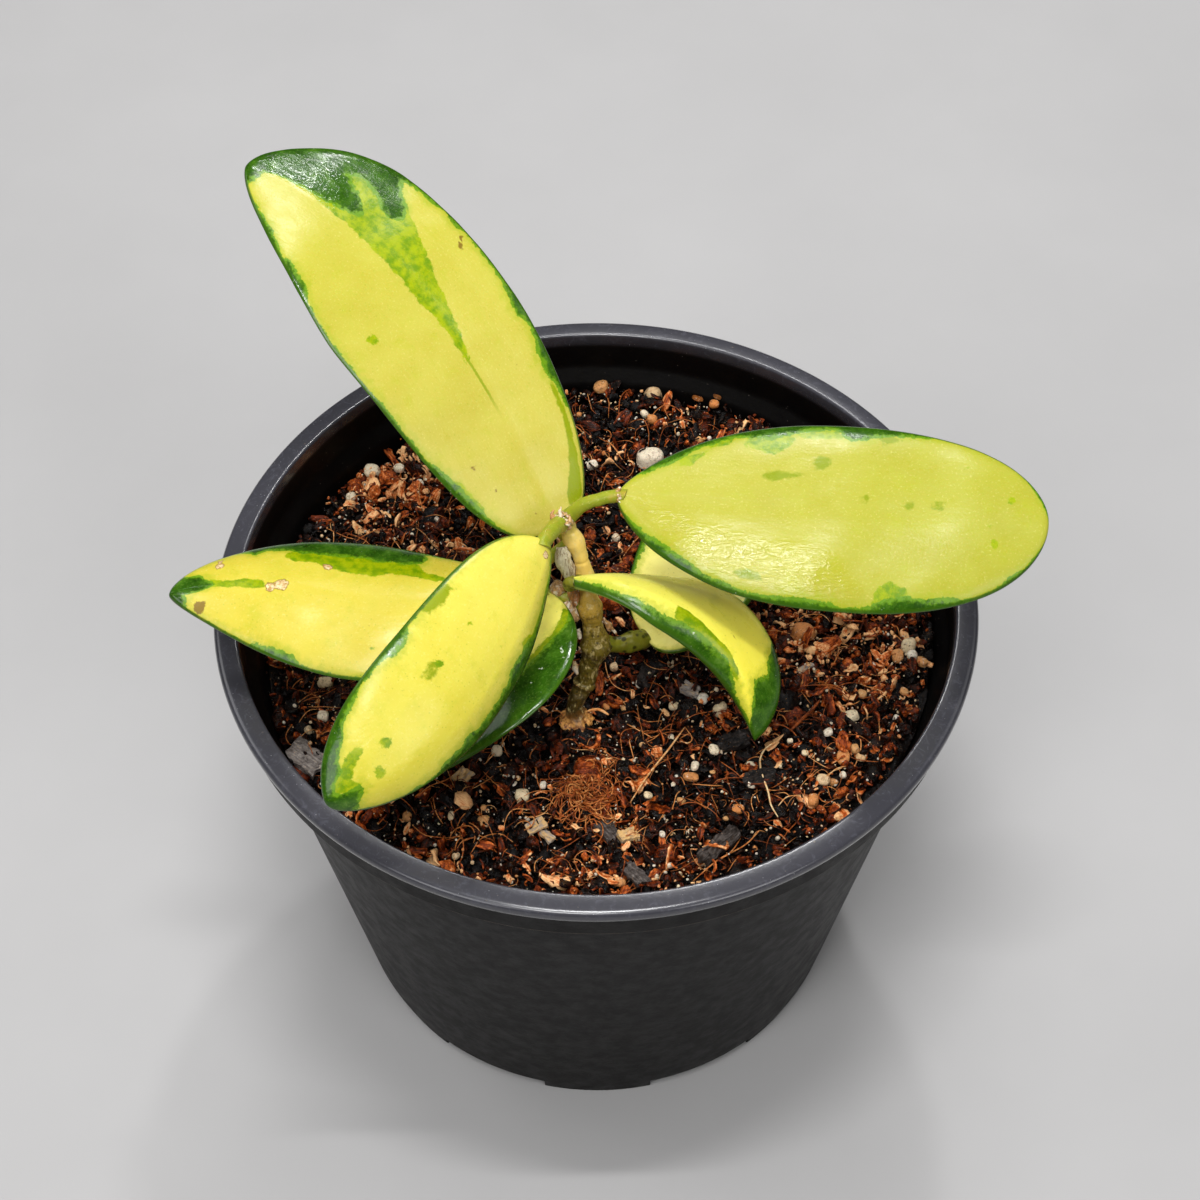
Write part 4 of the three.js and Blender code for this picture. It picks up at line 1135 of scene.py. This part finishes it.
def make_ground(material):
    """The body of the mix under the loose bits, closed down to the pot's floor, and painted nearly
    black as shade between the bits.
    """
    angles = np.linspace(0, 2 * np.pi, GROUND_SIDES, endpoint=False)
    brim = inner_radius(POT_HEIGHT - MIX_DEPTH) - GROUND_GAP
    shares = np.linspace(0.004, 1, GROUND_RINGS) ** 0.75
    x, y = (brim * shares[:, None] * trig(angles) for trig in (np.cos, np.sin))
    z = mix_height(x, y) - GROUND_SINK
    bits = np.stack([x, y, z], -1)
    z = z + 0.45 * Waves(23, 2.6)(bits) + 0.3 * Waves(24, 1.3)(bits)
    tightest = (inner_radius(np.minimum(z, STRAIGHT_WALL_TOP)) - GROUND_GAP) / brim
    rings = np.stack([x * tightest, y * tightest, z], -1)
    low = FLOOR + GROUND_GAP
    foot = inner_radius(low) - GROUND_GAP
    bottom = np.stack([foot * np.cos(angles), foot * np.sin(angles), 0 * angles + low], -1)
    rings = np.concatenate([rings, bottom[None]])
    grain = rings.reshape(-1, 3)
    piece = make_tubes("mix_ground", [rings], material, tone=np.full(len(grain), GROUND_SHADE_TONE),
                       grain=grain)
    settle(piece, "potting_mix", "potting_mix")


def ball_template(subdivisions, blockiness=1.0):
    """A ball half a unit in radius. With a blockiness of less than 1 it is more like a block."""
    ball = bmesh.new()
    bmesh.ops.create_icosphere(ball, subdivisions=subdivisions, radius=0.5)
    points = np.array([v.co[:] for v in ball.verts])
    faces = np.array([[v.index for v in face.verts] for face in ball.faces])
    ball.free()
    return np.sign(points) * 0.5 * (2 * np.abs(points)) ** blockiness, faces


def strip_template(long, wide):
    """A slab of long by wide points on both faces, half a unit either way, all in quads."""
    u, v = np.meshgrid(np.linspace(-0.5, 0.5, long), np.linspace(-0.5, 0.5, wide), indexing="ij")
    rings = np.concatenate([np.stack([u, v, 0 * u + 0.5], -1),
                            np.stack([u, v, 0 * u - 0.5], -1)[:, ::-1]], axis=1)
    around = 2 * wide
    sides = tube_faces(long, around)[:-2]
    ends = []
    for start, turn in ((0, -1), ((long - 1) * around, 1)):
        ends += [[start + k for k in (j, j + 1, around - 2 - j, around - 1 - j)][::turn]
                 for j in range(wide - 1)]
    return rings.reshape(-1, 3), np.array(sides + ends)


def turn_matrices(spin, lean, roll):
    """Turns by roll about X, then lean about Y, then spin about Z, in radians."""
    count = len(spin)
    whole = np.broadcast_to(np.eye(3), (count, 3, 3))
    for axis, angle in ((2, spin), (1, lean), (0, roll)):
        j, k = [(1, 2), (2, 0), (0, 1)][axis]
        turn = np.zeros((count, 3, 3))
        turn[:, axis, axis] = 1
        turn[:, j, j] = turn[:, k, k] = np.cos(angle)
        turn[:, k, j] = np.sin(angle)
        turn[:, j, k] = -turn[:, k, j]
        whole = whole @ turn
    return whole


def inside_pot(points):
    """The points, pressed in where they would touch the pot's wall."""
    reach = inner_radius(np.minimum(points[..., 2], STRAIGHT_WALL_TOP)) - WALL_GAP
    share = np.minimum(1, reach / np.hypot(points[..., 0], points[..., 1]))
    return points * np.stack([share, share, np.ones_like(share)], -1)


def spread(random, count, reach):
    """Places spread evenly over a disc."""
    radius = reach * np.sqrt(random.uniform(0, 1, count))
    angle = random.uniform(0, 2 * np.pi, count)
    return radius * np.cos(angle), radius * np.sin(angle)


def lay_out(name, shapes, faces, places, turns, tones, material, smooth=True, slot="potting_mix"):
    """Shapes, each turned and put at its place, as one mesh. tones has one row per shape."""
    count, corners = shapes.shape[:2]
    random = np.random.default_rng(count)
    grain = shapes + random.uniform(0, 400, (count, 1, 3))
    points = np.einsum("nij,nvj->nvi", turns, shapes) + places[:, None]
    if slot == "potting_mix":
        points = inside_pot(points)
    starts = np.arange(count)[:, None, None] * corners
    piece = make_mesh(name, points.reshape(-1, 3), (faces + starts).reshape(-1, faces.shape[1]),
                      material, smooth, tone=np.broadcast_to(tones, (count, corners)).ravel(),
                      grain=grain.reshape(-1, 3))
    settle(piece, slot)


def mix_tones(random, x, y, lifts):
    """Tone of each bit: darker where the mix is damp, and darker the lower the bit lies, which is
    painted shade in the gaps between the bits.
    """
    tones = -0.02 + 0.62 * dryness(x, y) + 0.26 * lifts.clip(-1.5, 0.9)
    return (tones + random.normal(0, 0.3, len(x))).clip(0, 1)[:, None]


def on_surface(x, y, lifts):
    return np.stack([x, y, mix_height(x, y) + lifts], -1)


def curled(random, template, length, width, thickness, bend, twist):
    """Torn strips: each narrows at its ends, and is cupped, twisted and bent along its length."""
    u, v, w = (template[None, :, k] for k in range(3))
    count = len(length)
    ragged = 1 + random.normal(0, 0.18, (count, template.shape[0]))
    narrow = 1 - random.uniform(0.2, 0.9, (count, 1)) * (2 * np.abs(u)) ** 3
    across = v * width[:, None] * ragged * narrow
    flat = w * thickness[:, None] + random.normal(0, 0.8, (count, 1)) * across ** 2 / width[:, None]
    angle = twist[:, None] * u
    out = across * np.sin(angle) + flat * np.cos(angle)
    across = across * np.cos(angle) - flat * np.sin(angle)
    arc = np.where(np.abs(bend) < 0.05, 0.05, bend)[:, None]
    turned = arc * u
    radius = length[:, None] / arc
    return np.stack([radius * np.sin(turned) - out * np.sin(turned), across,
                     radius * (1 - np.cos(turned)) + out * np.cos(turned)], -1)


def make_strips(name, seed, count, lengths, slimness, thickness, template, lift, tilt, material):
    """Curled strips of husk. lengths, lift: median in mm and spread. tilt: how steep they lie."""
    random = np.random.default_rng(seed)
    x, y = spread(random, count, BITS_REACH - 0.5)
    length = random.lognormal(math.log(lengths[0]), lengths[1], count).clip(0.7, 6.5)
    width = (length * random.uniform(*slimness, count)).clip(0.3, 2.2)
    points, faces = template
    shapes = curled(random, points, length, width, random.uniform(*thickness, count),
                    random.normal(0, 1.5, count), random.normal(0, 0.9, count))
    lifts = random.normal(*lift, count)
    turns = turn_matrices(random.uniform(0, 2 * np.pi, count), *random.normal(0, tilt, (2, count)))
    # each strip paler towards its long edges: painted highlights on its rims, as well as paler torn
    # edges
    tones = mix_tones(random, x, y, lifts) + 0.3 * (np.abs(points[:, 1]) - 0.25)
    lay_out(name, shapes, faces, on_surface(x, y, lifts), turns, tones, material)


def make_lumps(name, seed, count, lengths, template, lift, material, jag, smooth=False):
    """Rounded or angular crumbs. lengths and lift: median and spread, jag: roughness."""
    random = np.random.default_rng(seed)
    x, y = spread(random, count, BITS_REACH)
    sizes = random.lognormal(math.log(lengths[0]), lengths[1], (count, 1)).clip(0.2, 5)
    sizes = sizes * random.uniform(0.55, 1.15, (count, 3))
    points, faces = template
    shapes = points * (1 + random.normal(0, jag, (count, len(points), 1))) * sizes[:, None]
    lifts = random.normal(*lift, count)
    turns = turn_matrices(random.uniform(0, 2 * np.pi, count), *random.normal(0, 1, (2, count)))
    lay_out(name, shapes, faces, on_surface(x, y, lifts), turns, mix_tones(random, x, y, lifts),
            material, smooth)


def make_bits(material):
    """The loose mix: dust, crumbs and lumps, then shreds, curls and flakes of husk."""
    make_lumps("mix_dust", 51, 7500, (0.62, 0.4), ball_template(1), (-0.5, 0.7), material, 0.2)
    make_lumps("mix_crumbs", 52, 1500, (1.5, 0.35), ball_template(2), (-0.4, 0.5), material, 0.13)
    make_lumps("mix_lumps", 53, 260, (2.9, 0.25), ball_template(3, 0.8), (-0.6, 0.4), material,
               0.06, smooth=True)
    for name, seed in (("mix_shreds", 54), ("mix_curls", 57)):
        make_strips(name, seed, 2800, (1.65, 0.42), (0.22, 0.55), (0.1, 0.28), strip_template(6, 3),
                    (0.1, 0.6), 0.75, material)
    make_strips("mix_flakes", 55, 520, (3.4, 0.28), (0.22, 0.5), (0.25, 0.6), strip_template(9, 4),
                (0.1, 0.45), 0.45, material)


def fibre_paths(random, count, length, wander, lift):
    """Loose curly fibres lying on the mix."""
    steps = 12
    x, y = spread(random, count, BITS_REACH - 2)
    heading = random.uniform(0, 2 * np.pi, count)
    bend = random.normal(0, wander, (count, 1)) + random.normal(0, 0.6 * wander, (count, steps))
    angles = heading[:, None] + np.cumsum(bend, axis=1)
    step = random.uniform(*length, count)[:, None] / steps
    xs = x[:, None] + np.cumsum(step * np.cos(angles), axis=1)
    ys = y[:, None] + np.cumsum(step * np.sin(angles), axis=1)
    keep = np.hypot(xs, ys).max(axis=1) < BITS_REACH
    xs, ys = xs[keep], ys[keep]
    arch = np.sin(np.linspace(0, np.pi, steps)) * random.uniform(-0.4, 1.5, (len(xs), 1))
    zs = mix_height(xs, ys) + lift + random.normal(0, 0.35, (len(xs), 1)) + arch
    return np.stack([xs, ys, zs], -1)


LOOSE_FIBRES = 1700
COIR_FIBRES = 110
FIBRE_SIDES = 4
COIR_CLUMP = (590, 801, 5.2)  # pixel of the photograph and radius of a curly tuft of coir
# single strands of the photograph: (pixels, lift in mm, radius, tone)
STRANDS = [
    ([(630, 803), (648, 775), (668, 750), (685, 727)], 1.6, 0.17, 0.8),
    ([(775, 742), (765, 749), (760, 760), (762, 774), (768, 791), (771, 805), (778, 817)],
     1.5, 0.16, 0.95),
    ([(778, 806), (787, 797), (801, 795)], 1.3, 0.1, 0.8),
    ([(685, 727), (692, 738), (688, 743), (680, 741)], 1.4, 0.1, 0.75),
    ([(627, 724), (640, 731), (652, 738)], 1.3, 0.1, 0.7),
    ([(663, 730), (655, 738), (647, 742)], 1.3, 0.08, 0.7),
    ([(728, 741), (733, 755), (736, 770)], 1.2, 0.13, 0.35),
    ([(693, 881), (718, 860), (745, 845), (760, 830)], 1.5, 0.12, 0.65),
    ([(790, 731), (800, 721), (810, 712), (820, 700)], 1.4, 0.3, 0.35),
    ([(800, 687), (818, 685), (835, 688), (849, 698)], 1.6, 0.12, 0.45),
    ([(834, 688), (848, 683), (866, 684)], 1.5, 0.09, 0.4),
    ([(417, 796), (430, 786), (446, 780), (460, 771)], 1.4, 0.1, 0.6),
    ([(433, 797), (436, 812), (443, 824)], 1.4, 0.09, 0.65),
    ([(412, 825), (425, 835), (443, 838)], 1.3, 0.1, 0.6),
    ([(447, 769), (455, 788), (466, 799)], 1.4, 0.09, 0.7),
    ([(605, 650), (606, 668), (612, 683), (623, 690), (634, 691)], 1.4, 0.09, 0.75),
    ([(828, 776), (836, 769), (846, 766)], 1.6, 0.1, 0.8),
    ([(822, 780), (832, 772), (842, 768)], 1.5, 0.08, 0.8),
    ([(470, 855), (482, 838), (500, 834), (513, 842)], 1.3, 0.09, 0.6),
    ([(538, 772), (530, 757), (537, 745)], 1.3, 0.08, 0.55),
    ([(716, 862), (731, 852), (741, 838)], 1.3, 0.1, 0.6),
]
ROOTLET = [(-1.4, -18.4, 78.7), (0.4, -18.6, 79.3), (1.9, -19.6, 79.3)]


def coir_tuft(random):
    """Curly fibres heaped in a low dome: the path, radius and tone of each."""
    px, py, reach = COIR_CLUMP
    middle = np.array(on_mix(px, py)[:2])
    steps = 18
    for _ in range(COIR_FIBRES):
        spot = middle + reach * 0.8 * np.sqrt(random.uniform()) * unit(random.normal(size=2))
        heading = random.uniform(0, 2 * np.pi) + np.cumsum(random.normal(0.33, 0.3, steps))
        step = random.uniform(0.3, 0.6)
        xy = spot + np.cumsum(step * np.stack([np.cos(heading), np.sin(heading)], -1), axis=0)
        dome = 2.2 * (1 - (np.hypot(*(xy - middle).T) / (reach * 1.25)) ** 2).clip(0)
        lifts = 0.3 + dome * random.uniform(0.2, 1)
        lifts = lifts + 0.3 * np.sin(np.cumsum(random.normal(0.5, 0.4, steps)))
        yield on_surface(*xy.T, lifts), random.uniform(0.07, 0.13), random.uniform(0.32, 0.66)


def make_fibres(material):
    """Loose fibres, the tuft of coir, and the single strands and the rootlet of the photograph."""
    random = np.random.default_rng(8)
    paths = fibre_paths(random, LOOSE_FIBRES, (2, 8), 0.13, 0.5)
    fibres = list(zip(paths, random.uniform(0.04, 0.1, len(paths)),
                      random.uniform(0.1, 0.75, len(paths))))
    fibres += coir_tuft(random)
    fibres += [(catmull([on_mix(px, py, lift) for px, py in pixels], 24), radius, tone)
               for pixels, lift, radius, tone in STRANDS]
    fibres.append((catmull(ROOTLET, 24), 0.3, 0.7))
    tubes, tones = [], []
    for path, radius, tone in fibres:
        taper = 1 - 0.55 * np.linspace(-1, 1, len(path)) ** 4
        tubes.append(inside_pot(tube_points(path, radius * taper, FIBRE_SIDES)))
        tones.append(np.full(len(path) * FIBRE_SIDES, tone))
    piece = make_tubes("mix_fibres", tubes, material, tone=np.concatenate(tones),
                       grain=np.vstack([rings.reshape(-1, 3) for rings in tubes]))
    settle(piece, "potting_mix")


# grains of the photograph: (pixel, width and height in pixels, tone), tone 0 white to 1 orange
GRAINS = [
    (803, 632, 24, 20, 0.85), (898, 656, 12, 14, 0.75), (912, 655, 10, 10, 0.05),
    (922, 662, 11, 12, 0.7), (852, 716, 15, 12, 0.25), (828, 732, 9, 8, 0.1),
    (843, 758, 12, 15, 0.85), (861, 757, 10, 8, 0.5), (855, 749, 9, 10, 0.6),
    (823, 780, 13, 12, 0.4), (843, 775, 7, 7, 0.1), (813, 800, 11, 13, 0.85),
    (714, 750, 11, 11, 0.2), (724, 750, 8, 9, 0.2), (695, 766, 8, 12, 0.15),
    (691, 777, 17, 9, 0.8), (751, 782, 9, 15, 0.12), (751, 764, 10, 5, 0.2),
    (648, 796, 9, 7, 0.3), (619, 882, 13, 9, 0.75), (738, 809, 12, 9, 0.9),
    (522, 795, 14, 13, 0.3), (543, 785, 7, 8, 0.1), (451, 816, 6, 10, 0.35),
    (407, 817, 9, 10, 0.7), (654, 391, 20, 24, 0.45), (649, 458, 30, 24, 0.15),
    (592, 465, 12, 10, 0.1), (601, 386, 15, 19, 0.7), (652, 419, 11, 11, 0.85),
    (325, 683, 16, 13, 0.35), (323, 716, 11, 11, 0.15), (372, 471, 17, 16, 0.2),
    (399, 468, 11, 10, 0.15), (351, 497, 11, 10, 0.2), (614, 667, 8, 9, 0.4),
    (640, 683, 8, 11, 0.12), (674, 706, 11, 9, 0.3), (497, 751, 11, 11, 0.25),
    (805, 753, 7, 6, 0.3), (904, 692, 9, 8, 0.7), (862, 694, 10, 9, 0.6), (790, 741, 6, 5, 0.2),
    (781, 766, 5, 6, 0.3), (700, 393, 13, 9, 0.95), (714, 404, 11, 9, 0.9),
    (722, 388, 10, 8, 0.9), (662, 834, 6, 7, 0.1),
]
GRAIN_LIFT = 0.9
LOOSE_GRAINS = 130  # more grains, and specks, at random
SPECKS = 3400
PIXELS_PER_MM = 6.3  # at the mix


def perlite_material():
    m = Shading("perlite")
    tone = m.gradient(m.attribute("tone"), (0, "#ddd4c4"), (0.3, "#d8c49e"), (0.6, "#cc985f"),
                      (1, "#c06d28"))
    tone = m.mix(m.ramp(m.noise(0.8, 4, 0.65), 0.48, 0.7, 0, 0.6), tone, "#7a5230")
    tone = m.mix(m.ramp(m.noise(0.32, 2), 0.6, 0.7, 0, 0.75), tone, "#40210f")
    tone = m.mix(m.ramp(m.noise(0.5, 3), 0.6, 0.75, 0, 0.7), tone, "#e6ddcd")
    normal = m.bump(m.noise(0.5, 4, 0.65), 0.3)
    return m.finish(color=tone, roughness=0.6, normal=normal, subsurface=0.05,
                    subsurface_scale=0.0008)


def make_perlite(material):
    """The grains of the photograph, more of them at random, and specks."""
    random = np.random.default_rng(12)
    x, y = spread(random, LOOSE_GRAINS, BITS_REACH - 2)
    lifts = random.normal(0.2, 0.35, LOOSE_GRAINS)
    wide = random.lognormal(0.05, 0.35, (LOOSE_GRAINS, 1))
    named = np.array([(*on_mix(px, py, GRAIN_LIFT), width, height, tone)
                      for px, py, width, height, tone in GRAINS])
    flat = np.minimum(named[:, 3:4], named[:, 4:5])
    sizes = np.vstack([np.hstack([named[:, 3:5], flat * 0.8]) / PIXELS_PER_MM,
                       wide * random.uniform(0.7, 1.1, (LOOSE_GRAINS, 3))])
    places = np.vstack([named[:, :3], on_surface(x, y, lifts)])
    tones = np.concatenate([named[:, 5], random.beta(1.2, 1.6, LOOSE_GRAINS)])
    count = len(sizes)
    points, faces = ball_template(3, 0.75)
    knobs = Waves(26, 0.8)
    offsets = random.uniform(0, 90, (count, 1, 3))
    shapes = points * (1 + 0.11 * knobs(points + offsets)[..., None]) * sizes[:, None]
    is_named = np.arange(count) < len(named)
    spin = np.where(is_named, 0.25, np.pi) * random.uniform(-1, 1, count)
    lean, roll = np.where(is_named, 0.2, 1.0) * random.normal(0, 1, (2, count))
    lay_out("mix_perlite", shapes, faces, places, turn_matrices(spin, lean, roll), tones[:, None],
            material)
    make_specks(random, material)


def make_specks(random, material):
    """Tiny white crumbs of perlite all over the mix, which are also painted glints on the wet bits.
    """
    x, y = spread(random, SPECKS, BITS_REACH - 1)
    sizes = random.lognormal(-1.3, 0.4, (SPECKS, 1)) * random.uniform(0.6, 1.4, (SPECKS, 3))
    points, faces = ball_template(1)
    turns = turn_matrices(*random.uniform(-np.pi, np.pi, (3, SPECKS)))
    lifts = random.normal(0.6, 0.4, SPECKS)
    lay_out("mix_specks", points * sizes[:, None], faces, on_surface(x, y, lifts), turns,
            random.beta(0.9, 1.8, (SPECKS, 1)), material, smooth=False)


# odd chips on top: (pixel, length, width, thickness in mm, turn in degrees, tone)
ODD_CHIPS = [
    (306, 757, 6.2, 4.2, 1.0, -38, 0.62), (318, 765, 3.4, 2.2, 0.8, 20, 0.5),
    (608, 832, 4.2, 2.6, 0.8, -60, 0.35), (634, 874, 4.4, 2.2, 0.8, -50, 0.4),
    (628, 836, 2.8, 2.0, 0.8, 20, 0.98), (536, 826, 3.0, 2.0, 0.35, 25, 0.9),
    (547, 836, 2.4, 1.4, 0.35, -50, 0.85), (463, 777, 2.8, 2.4, 0.6, 50, 0.95),
    (720, 846, 7.4, 2.4, 1.4, 44, 0.3), (760, 778, 4.5, 2.4, 1.0, 10, 0.1),
    (735, 742, 4.6, 2.6, 1.2, 15, 0.1), (646, 676, 3.6, 2.2, 0.8, 70, 0.15),
    (690, 690, 3.0, 2.0, 0.8, -30, 0.75), (805, 668, 2.6, 0.8, 0.5, 30, 0.75),
]


def make_odd_chips(material):
    random = np.random.default_rng(31)
    points, faces = strip_template(10, 6)
    rows = np.array(ODD_CHIPS)
    sizes = rows[:, None, 2:5]
    shapes = points * (1 + random.normal(0, 0.05, (len(rows), len(points), 1))) * sizes
    shapes[..., 2] += 0.3 * Waves(33, 2.5)(shapes * 3) * sizes[..., 2]
    shapes[..., :2] *= 1 + 0.14 * Waves(34, 1.6)(shapes * [1, 1, 0])[..., None]
    turns = turn_matrices(np.radians(rows[:, 5]), *random.normal(0, 0.16, (2, len(rows))))
    places = np.array([on_mix(px, py, 1.1) for px, py in rows[:, :2]])
    lay_out("mix_odd_chips", shapes, faces, places, turns, rows[:, 6:7], material, smooth=False)


# ---------------------------------------------------------------- floor

FLOOR_REACH = 3000


def make_floor():
    m = Shading("floor")
    tone = m.mix(m.noise(60, 4, 0.6), "#a5a4a4", "#afaeae")
    m.finish(color=tone, roughness=0.85)
    corners = [(x * FLOOR_REACH, y * FLOOR_REACH, 0)
               for x, y in ((-1, -1), (1, -1), (1, 1), (-1, 1))]
    floor = make_mesh("floor", corners, [[0, 1, 2, 3]], m.material, smooth=False)


# ---------------------------------------------------------------- assembly

make_camera()
make_studio()
make_floor()

make_pot(pot_material())
husk = mix_material(
    "husk", ("#030101", "#090301", "#2a0e04", "#70290a", "#cc6626", "#fac48a"), 0.22, 0.42)
make_ground(husk)
make_bits(husk)
make_fibres(mix_material(
    "fibre", ("#1a0803", "#4f1f0a", "#9c4d1c", "#cc8a4c", "#e8cd9c"), 0.03, 0.5))
make_perlite(perlite_material())
make_odd_chips(mix_material(
    "bark", ("#0c0a0a", "#2b2420", "#58504c", "#8c847e", "#c9a26a"), 0.25, 0.5))

make_stem(stem_material())
dry = scale_material()
make_scales(dry)
make_crusts(dry)
leaf_skin = leaf_material()
midribs = {name: make_leaf(name + "_blade", leaf, index, leaf_skin)
           for index, (name, leaf) in enumerate(LEAVES.items())}
make_petioles(midribs, petiole_material())
